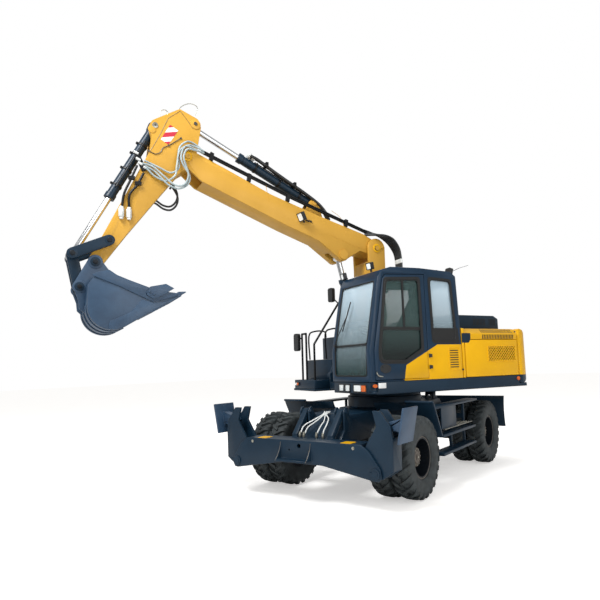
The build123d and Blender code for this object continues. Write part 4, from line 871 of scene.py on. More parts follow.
# A black sheet behind the mesh is painted shade of the space behind it.
build("mesh_back", SEAL_AND_OPENING_SHADE, "service_door_left", (sheet, mesh_frame, 0.0012))
bars = []
for (x0, z0), (x1, z1) in diagonals(*MESH, 0.052):
    bars.append((tube, [(x0, SIDE + 0.003, z0), (x1, SIDE + 0.003, z1)], 0.0065, 6))
    bars.append((tube, [(MESH[0] + MESH[1] - x0, SIDE + 0.0035, z0),
                        (MESH[0] + MESH[1] - x1, SIDE + 0.0035, z1)], 0.0065, 6))
build("mesh_bars", YELLOW, "service_door_left", *bars, (bead, on_side(mesh_frame, SIDE + 0.002), 0.009))
build("louvre_rim", YELLOW, "upper",
      (bead, on_side(rectangle(-0.285, -0.495, 1.60, 1.925, 0.03), SIDE + 0.0005), 0.006))
# The louvre's black strips are painted shade between its blades.
build("louvre_slots", SEAL_AND_OPENING_SHADE, "upper",
      (repeated, SEAL_AND_OPENING_SHADE, 8, (0, 0, 0.0345), STILL,
       (block, (-0.470, -0.310), (SIDE - 0.001, SIDE + 0.0015), (1.635, 1.649))))
print("openings", len(slots), "slots and", len(bars), "bars")

# %% [markdown]
# Small black hinges and locks stand on the panels. The door has a dished lock and a grab handle, and a
# slate patch closes the flank behind the cab.

# %% Locks, hinges and the door's handles
hinges = []
for z in (1.655, 1.815):
    hinges.append((tube, [(0.085, SIDE + 0.012, z - 0.028), (0.085, SIDE + 0.012, z + 0.028)], 0.011, 10))
    hinges.append((block, (0.030, 0.085), (SIDE, SIDE + 0.008), (z - 0.024, z + 0.024)))
build("panel_locks", PLASTIC, "upper", *hinges,
      (disc, (-0.545, SIDE, 1.600), (0, 1, 0), 0.016, 0.010, 20),
      (disc, (-1.70, SIDE, 2.165), (0, 1, 0), 0.014, 0.008, 16), ease=0.002)
lock_dish = oval((0.855, 1.652), 0.088, 0.058)
build("door_lock_dish", PLASTIC, "cab_door", (sheet, lock_dish, 0.002),
      (bead, on_side(lock_dish, SIDE + 0.002), 0.004),
      (block, (0.795, 0.905), (SIDE + 0.002, SIDE + 0.012), (1.664, 1.684)))
build("door_grab", ZINC, "cab_door",
      (hose, [(1.000, SIDE, 1.610), (1.012, SIDE + 0.020, 1.590), (0.990, SIDE + 0.028, 1.560),
              (0.930, SIDE + 0.028, 1.548), (0.912, SIDE, 1.545)], 0.008, 8, 5))
build("slate_patch", SLATE, "upper",
      (sheet, rounded([(-0.560, 1.995), (-0.700, 1.995), (-0.735, 2.06), (-0.735, 2.14), (-0.560, 2.14)],
                      rounds={1: 0.04, 2: 0.04}), 0.0012))
print("flank dressed")

# %% [markdown]
# Lamps and markers: a thin lens in front of a black housing. The skirt carries amber markers and a blank
# plate; the cab's base and the deck carry clear and amber lenses in dark frames.

# %% Lenses, markers and the blank plate
FRONT = 1.090
DECK_FRONT = 1.097
LENS_Z = (1.350, 1.432)
DECK_LENS_Z = (1.404, 1.446)


def plate(bm, y_low, y_high, z_low, z_high, x=FRONT, depth=0.010):
    """A small upright plate with rounded corners on the front of the cab base or deck."""
    prism(bm, rectangle(y_low, y_high, z_low, z_high, 0.012), "yz", x, x + depth)


build("amber_markers", AMBER, "upper",
      (prism, oval((1.045, 1.425), 0.034, 0.024, 24), "xz", SIDE, SIDE + 0.018),
      (disc, (-1.712, SIDE, 1.428), (0, 1, 0), 0.030, 0.010, 28), ease=0.004)
build("blank_plate", PLATE_WHITE, "upper",
      (block, (0.860, 0.985), (SIDE, SIDE + 0.004), (1.392, 1.462)), ease=0.0012)
build("front_lenses", LENS, "upper",
      *[(plate, *span, *LENS_Z) for span in ((0.430, 0.525), (0.600, 0.690), (0.820, 0.985))],
      (plate, -1.030, -0.975, *DECK_LENS_Z, DECK_FRONT), ease=0.003)
build("front_ambers", AMBER, "upper", (plate, 1.000, 1.105, *LENS_Z),
      (plate, -0.965, -0.910, *DECK_LENS_Z, DECK_FRONT), ease=0.003)
made = build("lamp_frames", PLASTIC, "upper",
             *[(band, rectangle(low, high, 1.330, 1.452, 0.02),
                rectangle(low + 0.016, high - 0.016, 1.342, 1.440, 0.014), "yz", FRONT - 0.001, FRONT + 0.007)
               for low, high in ((0.405, 0.715), (0.795, 1.130))],
             (plate, 0.540, 0.585, *LENS_Z, FRONT, 0.004),
             (block, (1.085, DECK_FRONT), (-1.040, -0.900), (1.396, 1.454)))
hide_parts("lamps")
print("lenses set")

# %% [markdown]
# The hood and what stands on the roof: two groups of slots in the hood's flank, a dark silencer box in
# front of it, three work lamps and a whip aerial.

# %% Hood, roof lamps and aerial
HOOD_SIDE = 0.900
# The hood's slots are not cut: their black strips are painted shade where the openings are.
slots = [(prism, rectangle(x, x - 0.014, 2.295, 2.400), "xz", HOOD_SIDE - 0.001, HOOD_SIDE + 0.002)
         for start, count in ((-1.165, 9), (-1.520, 5)) for x in [start - k * 0.031 for k in range(count)]]
build("hood_slots", SEAL_AND_OPENING_SHADE, "engine_hood", *slots)
build("silencer_box", BLACK, "upper", (block, (-0.690, -0.570), (0.42, 0.86), (2.216, 2.345)),
      (tube, [(-0.63, 0.80, 2.345), (-0.63, 0.80, 2.420)], 0.040, 20),
      (tube, [(-0.63, 0.52, 2.345), (-0.63, 0.52, 2.385)], 0.030, 20), ease=0.010)


def work_lamp(name, place, body, yaw, pitch=-12.0, half=0.052):
    """A work lamp: a deep rounded housing, a bezel, a clear lens and a bracket below."""
    square = rectangle(-half, half, -half, half, 0.016)
    opening = rectangle(-half + 0.012, half - 0.012, -half + 0.012, half - 0.012, 0.012)
    aim = (Matrix.Translation(place) @ Matrix.Rotation(math.radians(yaw), 4, "Z")
           @ Matrix.Rotation(-math.radians(pitch), 4, "Y"))
    build(name + "_housing", PLASTIC, body,
          (placed, aim, (prism, square, "yz", -0.052, 0.0), (band, square, opening, "yz", 0.0, 0.012),
           (block, (-0.034, -0.018), (-0.016, 0.016), (-half - 0.036, -half + 0.004))), ease=0.004)
    build(name + "_lens", LENS, body, (placed, aim, (prism, inset(square, 0.011), "yz", 0.0, 0.006)))


work_lamp("roof_lamp_left", (0.860, 0.960, 3.110), "upper", 8)
work_lamp("roof_lamp_right", (0.880, 0.270, 3.070), "upper", -8)
work_lamp("roof_lamp_rear", (-0.560, 1.080, 3.080), "upper", 172, -14, 0.062)
build("aerial", PLASTIC, "upper",
      (tube, [(-0.470, 1.130, 3.055), (-0.690, 1.150, 3.150)], 0.004, 6),
      (tube, [(-0.690, 1.150, 3.150), (-0.860, 1.170, 3.200)], 0.003, 6),
      (tube, [(-0.250, 1.120, 3.060), (-0.250, 1.120, 3.095)], 0.016, 12))
print("roof dressed")

# %% [markdown]
# The bucket is drawn from outlines. A round arc gives the heel, and a bent plate is a path and the same
# path moved to its left.

# %% Arcs and bent plates


def arc_through(a, b, c, steps=18):
    """Points of the round arc through three places."""
    a, b, c = Vector(a), Vector(b), Vector(c)
    twice = 2 * (a.x * (b.y - c.y) + b.x * (c.y - a.y) + c.x * (a.y - b.y))
    aa, bb, cc = a.length_squared, b.length_squared, c.length_squared
    u = (aa * (b.y - c.y) + bb * (c.y - a.y) + cc * (a.y - b.y)) / twice
    v = (aa * (c.x - b.x) + bb * (a.x - c.x) + cc * (b.x - a.x)) / twice
    start = math.atan2(a.y - v, a.x - u)
    sweep = (math.atan2(c.y - v, c.x - u) - start) % (2 * math.pi)
    if (math.atan2(b.y - v, b.x - u) - start) % (2 * math.pi) > sweep:
        sweep -= 2 * math.pi
    radius = (a - Vector((u, v))).length
    angles = [start + sweep * k / steps for k in range(steps + 1)]
    return [(u + radius * math.cos(angle), v + radius * math.sin(angle)) for angle in angles]


def plate_along(path, thickness):
    """The closed outline of a bent plate: a path and the same path moved to its left."""
    moved = []
    for k, here in enumerate(path):
        ahead = Vector(path[min(k + 1, len(path) - 1)]) - Vector(path[max(k - 1, 0)])
        ahead.normalize()
        moved.append((here[0] - ahead.y * thickness, here[1] + ahead.x * thickness))
    return path + list(reversed(moved))


def across(bm, outline, low, high):
    """An outline pushed between two distances from the boom's plane."""
    prism(bm, outline, "xz", BOOM_Y + low, BOOM_Y + high)


print("arcs and plates ready")

# %% [markdown]
# The bucket. Its floor runs straight from the cutting edge into a round heel and back. The wrapper is one
# bent plate between two flat sides; the sides carry a strip along the mouth, a wear band and a bolted
# cutter each. Two ears hold the pins, five teeth stand in the edge and three strips guard the heel.

# %% Bucket
BUCKET_EYE = (BUCKET_PIN.x, BUCKET_PIN.z)
LINK_EYE = (4.558, 2.768)
HALF = 0.500
LIP, BACK_TOP, TOP_PLATE = (3.430, 2.650), (4.484, 2.760), (4.380, 2.905)
HEEL = arc_through((4.072, 2.256), (4.330, 2.243), (4.492, 2.520))
HEEL_STRIP = arc_through((4.075, 2.254), (4.332, 2.241), (4.493, 2.520))
MOUTH = [(4.258, 2.937), (4.172, 2.879), (4.029, 2.824), (3.781, 2.739), (3.600, 2.700), (3.478, 2.690)]
# columns: inner and outer face against the side, outline
SIDE_PLATES = [
    (-0.026, 0.0, [LIP] + HEEL + [BACK_TOP, TOP_PLATE] + MOUTH),
    (-0.002, 0.014, [TOP_PLATE] + MOUTH + [(3.440, 2.655), (3.746, 2.564), (4.171, 2.756), (4.455, 2.862)]),
    (-0.002, 0.009, rounded([(3.884, 2.592), (4.004, 2.436), (4.252, 2.317), (4.262, 2.226), (4.170, 2.220),
                             (4.074, 2.262), (3.560, 2.574), (3.752, 2.560)], rounds={1: 0.10, 2: 0.05})),
    (0.014, 0.034, rounded([(3.494, 2.742), (3.596, 2.795), (3.790, 2.752), (3.842, 2.655), (3.740, 2.596),
                            (3.600, 2.672)], rounds={2: 0.03, 3: 0.03})),
]
EAR = rounded([(4.303, 3.100), (4.383, 3.172), (4.462, 3.120), (4.628, 2.800), (4.606, 2.700), (4.570, 2.600),
               (4.560, 2.500), (4.494, 2.440), (4.480, 2.712), (4.352, 2.860), (4.130, 2.872)],
              rounds={1: 0.10, 3: 0.06, 4: 0.06, 6: 0.04})
EDGE = [(3.762, 2.430), (3.774, 2.452), (3.432, 2.668), (3.396, 2.664), (3.410, 2.646)]
TOOTH_FOOT = [(3.560, 2.545), (3.575, 2.592), (3.470, 2.690), (3.405, 2.705), (3.392, 2.655)]
TOOTH_TIP = [(3.452, 2.630), (3.430, 2.712), (3.334, 2.718), (3.331, 2.706)]
wrapper = [LIP, (3.75, 2.4536)] + HEEL + [(4.486, 2.62), BACK_TOP, TOP_PLATE]
parts = [(across, plate_along(wrapper, 0.026), -HALF + 0.002, HALF - 0.002)]
for hand in (1, -1):
    for low, high, outline in SIDE_PLATES:
        parts.append((across, outline, *sorted((hand * (HALF + low), hand * (HALF + high)))))
    for x, z in ((3.745, 2.660), (3.800, 2.690)):
        parts.append((disc, (x, BOOM_Y + hand * (HALF + 0.034), z), (0, hand, 0), 0.016, 0.012, 6))
    near, far = sorted((hand * 0.148, hand * 0.178))
    parts.append((across, EAR, near, far))
    for eye, radius in ((BUCKET_EYE, 0.088), (LINK_EYE, 0.078)):
        parts.append((across, oval(eye, radius), near - 0.006, far + 0.006))
parts.append((across, EDGE, -HALF - 0.004, HALF + 0.004))
for y in [-0.44 + 0.22 * k for k in range(5)]:
    parts.append((across, TOOTH_FOOT, y - 0.043, y + 0.043))
    parts.append((across, TOOTH_TIP, y - 0.030, y + 0.030))
for y in (-0.33, 0.0, 0.33):
    parts.append((across, plate_along(HEEL_STRIP, -0.012), y - 0.04, y + 0.04))
made = build("dressed_bucket", BUCKET_PAINT, "bucket", *parts, ease=0.0035)
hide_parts("bucket")
print("bucket faces", len(made.data.polygons))

# %% [markdown]
# Pins. Each joint of the boom, arm and linkage shows the end of its pin: a collar and the pin's six-sided
# face.

# %% Pin ends
# columns: name, body, eye, distance from the boom's plane, radius, finish
PINS = [
    ("arm_pivot", "upper_boom", (ARM_PIVOT.x, ARM_PIVOT.z), 0.187, 0.052, YELLOW),
    ("boom_pivot", "lower_boom", (BOOM_PIVOT.x, BOOM_PIVOT.z), 0.240, 0.058, YELLOW),
    ("bucket_pin", "bucket", BUCKET_EYE, 0.184, 0.046, SLATE),
    ("link_eye", "bucket", LINK_EYE, 0.184, 0.042, SLATE),
    ("rocker_pin", "rocker_links", (4.224, 3.374), 0.205, 0.046, SLATE),
    ("link_pin", "rocker_links", (4.644, 3.175), 0.205, 0.046, SLATE),
    ("arm_cylinder_pin", "arm", (3.108, 5.155), 0.146, 0.040, ZINC),
    ("bucket_cylinder_pin", "arm", (3.658, 5.026), 0.146, 0.026, ZINC),
]
for name, body, (x, z), out, radius, finish in PINS:
    starts = [((x, BOOM_Y + hand * (out - 0.004), z), (0, hand, 0)) for hand in (1, -1)]
    build(name + "_collar", finish, body, *[(disc, *start, radius + 0.014, 0.012, 32) for start in starts],
          ease=0.003)
    build(name + "_face", WORN_STEEL if finish is ZINC else DARK, body,
          *[(disc, *start, radius - 0.012, 0.022, 6) for start in starts], ease=0.003)
print("pins dressed", len(PINS))

# %% [markdown]
# The arm's head. Two cheek plates carry the eyes of the arm cylinder and the bucket cylinder, and the box
# between them stops short of both, so the cylinders have room. Below the head the arm is one tapered box.

# %% Arm
NEAR = BOOM_Y + 0.145
ARM_BOX = [(3.725, 4.650), (4.311, 3.420), (4.468, 3.115), (4.383, 3.002), (4.308, 3.045), (3.990, 3.505),
           (3.630, 4.000), (3.320, 4.415), (3.170, 4.520), (3.100, 4.620)]
ARM_CHEEK = [(3.026, 5.120), (3.066, 5.232), (3.325, 5.332), (3.694, 5.092), (3.738, 5.010), (3.700, 4.860),
             *ARM_BOX, (3.085, 4.750)]
CHEEK_ROUNDS = {0: 0.06, 1: 0.06, 2: 0.06, 3: 0.06, 4: 0.06, 5: 0.10, 6: 0.15, 7: 0.3, 8: 0.08, 9: 0.08,
                10: 0.05, 11: 0.4, 12: 0.4, 13: 0.15, 14: 0.10, 15: 0.08}
ARM_CORE = [(3.085, 4.750), (3.078, 4.880), (3.250, 4.930), (3.372, 5.100), (3.378, 5.285), (3.440, 5.250),
            (3.530, 5.080), (3.620, 4.900), (3.702, 4.745), *ARM_BOX]
cheek = rounded(ARM_CHEEK, rounds=CHEEK_ROUNDS)
# The arm takes the darker copy of the yellow, whose difference from the body's yellow is painted shade.
made = build("dressed_arm", BOOM_YELLOW_PAINTED_SHADE, "arm", (across, cheek, 0.062, 0.145),
             (across, cheek, -0.145, -0.062), (across, ARM_CORE, -0.0622, 0.0622), ease=0.006)
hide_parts("arm")
build("arm_seams", WORN_STEEL, "arm",
      (tube, on_side([(3.318, 5.300), (3.481, 5.162), (3.583, 4.925), (3.682, 4.722), (3.717, 4.660)], NEAR),
       0.0035, 6),
      (tube, on_side([(3.318, 5.300), (3.227, 5.192), (3.136, 5.076)], NEAR), 0.0035, 6))
build("arm_lobes", BOOM_YELLOW_PAINTED_SHADE, "arm",
      (prism, oval((3.105, 5.150), 0.072), "xz", NEAR - 0.002, NEAR + 0.010),
      (prism, oval((3.700, 4.960), 0.052), "xz", NEAR - 0.002, NEAR + 0.008), ease=0.004)
print("arm dressed")

# %% [markdown]
# The warning diamond on the arm is a reflecting sheet in red and white stripes. A repeating saw of the
# distance along one direction, cut at its middle, gives stripes of one width.

# %% Striped sheet


def striped(name, colours, axis, step_mm):
    """A reflecting sheet with slanting stripes in two colours."""
    made, tree, shader, coords = new_material(name, {"Roughness": 0.35})
    along_axis = node(tree, "ShaderNodeVectorMath", {0: coords}, {1: axis}, operation="DOT_PRODUCT")
    steps = calc(tree, "MULTIPLY", along_axis.outputs["Value"], 1000.0 / step_mm)
    mask = calc(tree, "GREATER_THAN", calc(tree, "FRACT", steps), 0.5)
    tree.links.new(mixed(tree, mask, *colours), shader.inputs["Base Color"])
    bumped(tree, shader, coords, 3, 0.01)
    return made


slant = TURN.to_3x3() @ Vector((0.26, 0.0, 0.966))
STRIPES = striped("striped_sheet", ("#B8263A", "#E4E0DC"), tuple(slant), 128)
build("striped_diamond", STRIPES, "arm",
      (prism, [(3.459, 5.073), (3.348, 5.010), (3.481, 4.782), (3.583, 4.840)], "xz", NEAR, NEAR + 0.002))
print("diamond set")

# %% [markdown]
# What the arm carries on its near side: two steel pipes with their white unions, the manifold that the grey
# hoses screw into, thin grease lines with their loops on top, and two black hoses below.

# %% Pipes, unions and lines on the arm
PIPE_Y = NEAR + 0.024
GREASE = [(3.312, 4.905), (3.409, 4.825), (3.480, 4.770), (3.555, 4.721), (3.583, 4.662), (3.655, 4.619),
          (3.739, 4.649)]
LOOPS = ([(3.345, 5.318), (3.297, 5.385), (3.225, 5.440), (3.157, 5.462), (3.090, 5.450), (3.063, 5.410),
          (3.085, 5.340), (3.120, 5.255)],
         [(3.520, 5.190), (3.480, 5.250), (3.510, 5.290), (3.570, 5.270), (3.600, 5.180)])
LOWER = [(3.415, 4.300), (3.380, 4.327), (3.305, 4.201), (3.320, 4.080), (3.400, 3.997), (3.500, 4.000),
         (3.600, 4.060), (3.660, 4.075)]
build("arm_pipes", BLACK, "arm",
      *[(hose, on_side(line, PIPE_Y), 0.016, 12, 5)
        for line in ([(3.809, 4.321), (3.890, 4.147), (3.984, 4.002), (3.989, 3.827), (3.990, 3.700)],
                     [(3.892, 4.412), (3.972, 4.208), (4.051, 4.007), (4.076, 3.816), (4.082, 3.700)])],
      *[(block, (x - 0.035, x + 0.045), (NEAR, PIPE_Y + 0.020), (z - 0.022, z + 0.022))
        for x, z in ((3.872, 4.170), (3.955, 4.235))])
unions = []
for x, z in ((3.990, 3.753), (4.084, 3.756)):
    unions.append((tube, [(x, PIPE_Y, z - 0.055), (x, PIPE_Y, z + 0.055)], 0.036, 6))
    unions.append((tube, [(x - 0.003, PIPE_Y, z - 0.085), (x - 0.003, PIPE_Y, z + 0.080)], 0.025, 12))
for x, z in ((3.852, 4.446), (3.782, 4.398), (3.879, 4.501), (3.907, 4.586)):
    unions.append((tube, [(x - 0.030, PIPE_Y, z - 0.012), (x + 0.030, PIPE_Y, z + 0.012)], 0.019, 6))
build("arm_unions", UNION, "arm", *unions, ease=0.003)
build("arm_manifold", BLACK, "arm",
      (prism, [(3.765, 4.370), (3.825, 4.345), (3.935, 4.590), (3.880, 4.615)], "xz",
       NEAR - 0.01, NEAR + 0.030), ease=0.004)
build("arm_grease_line", WORN_STEEL, "arm", (hose, on_side(GREASE, NEAR + 0.006), 0.0055, 8, 5),
      *[(disc, (x, NEAR, z), (0, 1, 0), 0.013, 0.014, 12) for x, z in (GREASE[0], GREASE[2], GREASE[6])])
build("arm_loop_lines", ZINC, "arm", *[(hose, on_side(line, 0.045), 0.0055, 8, 5) for line in LOOPS])
build("arm_lower_hoses", HOSE, "arm",
      *[(hose, [(x - shift * 0.4, -0.16 - shift, z - shift) for x, z in LOWER], 0.014, 10, 5)
        for shift in (0.0, 0.038)])
print("arm fittings set")

# %% [markdown]
# Cylinders. Each barrel has clamp bands with a lug, and a thin black line runs beside it from band to band.

# %% Barrel bands and lines
# columns: cylinder, base eye, tip eye, barrel radius, shares of its length where bands sit
BARRELS = [
    ("bucket", (3.658, 5.026), (4.644, 3.175), 0.060, (0.145, 0.225, 0.345, 0.47)),
    ("arm", (1.217, 4.267), (3.108, 5.155), 0.064, (0.12, 0.30, 0.50)),
]
LUG_HALF = Vector((0, 0.022, 0))


def along(a, b, share):
    """A place on the boom's plane between two eyes."""
    x, z = Vector(a).lerp(Vector(b), share)
    return Vector((x, BOOM_Y, z))


for name, base, tip, radius, shares in BARRELS:
    ahead = (Vector(tip) - Vector(base)).normalized()
    side = Vector((-ahead.y, 0, ahead.x))
    lean = Matrix.Rotation(-math.atan2(ahead.y, ahead.x), 4, "Y")
    body = BODY_OF[name + "_barrel"]
    bands = []
    for middle in [along(base, tip, share) for share in shares]:
        ear = middle + side * (radius + 0.018)
        rims = oval((0, 0), radius + 0.010), oval((0, 0), radius + 0.001)
        bands.append((placed, Matrix.Translation(middle) @ lean, (band, *rims, "yz", -0.016, 0.016)))
        bands.append((tube, [ear - LUG_HALF, ear + LUG_HALF], 0.014, 8))
    build(name + "_barrel_bands", BLACK, body, *bands, ease=0.003)
    off = side * (radius + 0.022) if name == "arm" else Vector((0, radius + 0.020, 0))
    first, last = along(base, tip, shares[0] - 0.03), along(base, tip, shares[-1] + 0.02)
    build(name + "_barrel_pipe", BLACK, body,
          (tube, [first + off * 0.6, first + off, last + off, last + off * 0.6], 0.009, 8))
print("cylinders dressed")

# %% [markdown]
# Fittings on the boom: a work lamp with its coiled lead, weld seams and bosses on the side plates, and the
# port block at the arm cylinder's gland with two dark hoses that run back over the barrel to the boom.

# %% Boom fittings
BOOM_NEAR = BOOM_Y + 0.185
ARM_SUPPLY = ((0.060, 0.0), (0.004, 0.020))
work_lamp("boom_lamp", (1.535, BOOM_NEAR + 0.062, 3.965), "upper_boom", 6, -24, 0.066)
coil = [(1.440 - 0.0042 * k, BOOM_NEAR + 0.045 + 0.016 * math.cos(1.9 * k),
         3.930 - 0.0005 * k + 0.016 * math.sin(1.9 * k)) for k in range(26)]
build("boom_lamp_lead", HOSE, "upper_boom",
      (tube, [(1.483, BOOM_NEAR + 0.062, 3.950), *coil, (1.300, BOOM_NEAR, 3.912)], 0.005, 8))
ports = []
for x, z, long in ((2.300, 4.862, 0.085), (2.232, 4.836, 0.070)):
    ports.append((tube, [(x, BOOM_Y - 0.035, z - 0.050), (x - 0.030, BOOM_Y - 0.035, z + long * 0.45)],
                  0.028, 8))
    for low, high, radius, sides in ((-0.070, 0.110, 0.034, 8), (0.108, 0.135, 0.024, 6)):
        ports.append((tube, [(x - 0.020, BOOM_Y + low, z), (x - 0.020, BOOM_Y + high, z)], radius, sides))
build("arm_cylinder_ports", UNION, "arm_barrel", *ports, ease=0.003)
build("arm_cylinder_hoses", HOSE, "arm_barrel",
      *[(hose, [(2.280, y, 4.850), (2.150, y, 4.800 + lift), (1.910, y, 4.668 + lift),
                (1.645, y, 4.530 + lift), (1.440, y, 4.428 + lift), (1.240, y, 4.318 + lift)], 0.021, 12)
        for y, lift in ARM_SUPPLY])
made = build("arm_hose_tails", HOSE, None,
             *[(hose, [(1.240, y, 4.318 + lift), (1.120, y, 4.235 + lift), (1.020, y, 4.130),
                       (0.960, y, 4.010)], 0.021, 12) for y, lift in ARM_SUPPLY])
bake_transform(made)
build("arm_hose_clips", BLACK, "arm_barrel",
      *[(block, (x - 0.022, x + 0.022), (-0.028, 0.092), (z - 0.026, z + 0.046))
        for x, z in ((1.560, 4.493), (2.020, 4.738))], ease=0.006)
# Seams and bosses on the boom take the same darker yellow, whose difference is painted shade.
build("boom_seams", BOOM_YELLOW_PAINTED_SHADE, "upper_boom",
      *[(hose, on_side(line, BOOM_NEAR), 0.0035, 6, 5)
        for line in ([(0.290, 3.560), (0.620, 3.640), (1.000, 3.760)], [(2.020, 4.150), (2.075, 4.430)],
                     [(0.700, 3.800), (0.780, 4.040), (0.950, 4.150)])])
build("boom_bosses", BOOM_YELLOW_PAINTED_SHADE, "upper_boom",
      *[(disc, (x, BOOM_Y + hand * 0.183, z), (0, hand, 0), radius, 0.020, 40)
        for x, z, radius in ((BOOM_PIVOT.x, BOOM_PIVOT.z, 0.118), (0.760, 3.460, 0.078)) for hand in (1, -1)],
      ease=0.006)
print("boom fittings set")

# %% [markdown]
# Behind the cab a bundle of black hoses leaves the boom's foot, arches over and drops through white unions
# to the turret. The drops ride the lower boom.

# %% Hoses at the boom's foot
bundle, drops, unions = [], [], []
for k in range(5):
    y = 0.130 + 0.036 * k
    bundle.append((hose, [(0.330, 0.105, 3.900 - 0.020 * k), (0.180, y * 0.9, 3.860 - 0.014 * k),
                          (0.020, y, 3.800), (-0.130, y, 3.700 + 0.012 * k),
                          (-0.235, y, 3.560 + 0.012 * k), (-0.270, y, 3.420)], 0.017))
    unions.append((tube, [(-0.270, y, 3.440), (-0.272, y, 3.370)], 0.023, 6))
    drops.append((hose, [(-0.272, y, 3.380), (-0.262, y, 3.260), (-0.190, y, 3.080 + 0.015 * k),
                         (-0.060, 0.112, 2.900 + 0.036 * k), (0.060, 0.098, 2.860 + 0.036 * k)], 0.017))
made = build("boom_foot_hoses", HOSE, None, *bundle)
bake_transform(made)
build("boom_foot_unions", UNION, "lower_boom", *unions, ease=0.003)
build("boom_foot_drops", HOSE, "lower_boom", *drops)
print("boom foot dressed")

# %% [markdown]
# Hubs. Each rim keeps its shape and gains a rolled lip; the drum in the middle carries a cover with a
# raised cap and a ring of bolts, and two valve stems stand beside it.

# %% Hub covers
# columns: radius, distance from the machine's middle, depth
HUB_STEPS = ((0.118, 1.108, 0.034), (0.080, 1.140, 0.012), (0.036, 1.150, 0.010))
for corner, hub in HUBS.items():
    out = 1 if hub.y > 0 else -1
    axis = (0, out, 0)
    body = "wheel_" + corner
    build("rim_lip_" + corner, HUB_CAST, body,
          (bead, on_side(oval((hub.x, hub.z), 0.257, sides=64), out * 1.214), 0.008), turned=False)
    build("hub_cover_" + corner, HUB_CAST, body,
          *[(disc, (hub.x, out * start, hub.z), axis, radius, depth, 40)
            for radius, start, depth in HUB_STEPS],
          ease=0.004, turned=False)
    build("hub_caps_" + corner, ZINC, body,
          (disc, (hub.x, out * 1.159, hub.z), axis, 0.014, 0.010, 6),
          *[(disc, (x, out * 1.141, z), axis, 0.009, 0.010, 6)
            for x, z in oval((hub.x, hub.z), 0.100, sides=12)],
          *[(disc, (hub.x + 0.225 * math.cos(a), out * 0.990, hub.z + 0.225 * math.sin(a)), axis,
             0.0055, 0.060, 8) for a in (0.6, 0.6 + math.pi)], turned=False)
print("hub covers on", len(HUBS), "hubs")

# %% [markdown]
# The front of the undercarriage: four pale hoses fan out from under the turret to fittings on the beam, the
# tow recess has bright cut edges, and a bolt with its washer holds each end of the beam's plate.

# %% Beam fittings
BEAM_X = 2.330
# columns: y and z of a hose where it comes down on the beam
BEAM_HOSES = ((0.175, 0.960), (0.075, 0.930), (-0.125, 0.915), (-0.190, 0.930))
build("beam_hoses", UNION, "undercarriage",
      *[(hose, [(1.640, 0.020 - 0.030 * k, 1.090), (1.740, 0.030 - 0.020 * k, 1.060),
                (1.860, (y + 0.02) * 0.7, z + 0.060), (1.960, y, z), (2.040, y, z - 0.080),
                (2.060, y, 0.792)], 0.0085) for k, (y, z) in enumerate(BEAM_HOSES)], turned=False)
unions, bolts = [], []
for y in [place[0] for place in BEAM_HOSES]:
    unions.append((tube, [(2.060, y, 0.788), (2.060, y, 0.840)], 0.021, 6))
    unions.append((tube, [(2.060, y, 0.835), (2.058, y, 0.862)], 0.016, 12))
build("beam_unions", ZINC, "undercarriage", *unions, ease=0.002, turned=False)
build("beam_patches", YELLOW, "undercarriage",
      *[(prism, rectangle(2.160, 2.310, y - 0.075, y + 0.075, 0.02), "xy", 0.788, 0.794)
        for y in (-0.640, 0.660)], turned=False)
for y in (-0.780, 0.780):
    bolts.append((disc, (BEAM_X - 0.002, y, 0.745), (1, 0, 0), 0.013, 0.012, 6))
    bolts.append((disc, (BEAM_X - 0.002, y, 0.745), (1, 0, 0), 0.019, 0.004, 20))
build("beam_bolts", ZINC, "undercarriage", *bolts, turned=False)
build("recess_edges", WORN_STEEL, "undercarriage",
      *[(hose, [(BEAM_X + 0.120, y, 0.548), (BEAM_X + 0.071, y, 0.602), (BEAM_X + 0.022, y, 0.691),
                (BEAM_X + 0.002, y, 0.765)], 0.0042, 8, 5) for y in (-0.301, 0.169)], turned=False)
print("beam dressed")

# %% [markdown]
# Ladders. Each step carries a folded tread with round drain studs and two bright edges.

# %% Treads
# columns: x from, x to, height
STEPS = [(-0.55, 0.60, 1.092), (-0.55, 0.60, 0.780), (-0.52, 0.58, 0.452)]
STUD_PITCH = 0.075
treads = []
for hand in (1, -1):
    for low, high, z in STEPS:
        treads += [(tube, [(low, hand * y, z), (high, hand * y, z)], 0.0055, 8) for y in (1.072, 1.238)]
        for x in [low + STUD_PITCH * (k + 0.5) for k in range(int((high - low) / STUD_PITCH))]:
            treads += [(disc, (x, hand * y, z - 0.004), (0, 0, 1), 0.013, 0.009, 10)
                       for y in (1.115, 1.155, 1.195)]
build("step_treads", ZINC, "undercarriage", *treads, turned=False)
print("treads", len(STEPS) * 2)

# %% [markdown]
# The driver's seat has three padded pieces. Each cushion is a closed form that swells in the middle and
# pulls in along its sides, with creases beside its middle panel and piping at its seam.

# %% Cushions
SEAT_Y, SEAT_HALF = 0.7845, 0.265
BACK_LEAN = 258
PULL = 0.055


def pulled(half, u, v):
    """A cushion's outline at a place of its unit square, pulled in along its sides."""
    return u * half[0] * (1 - PULL * (1 - v * v)), v * half[1] * (1 - PULL * (1 - u * u))


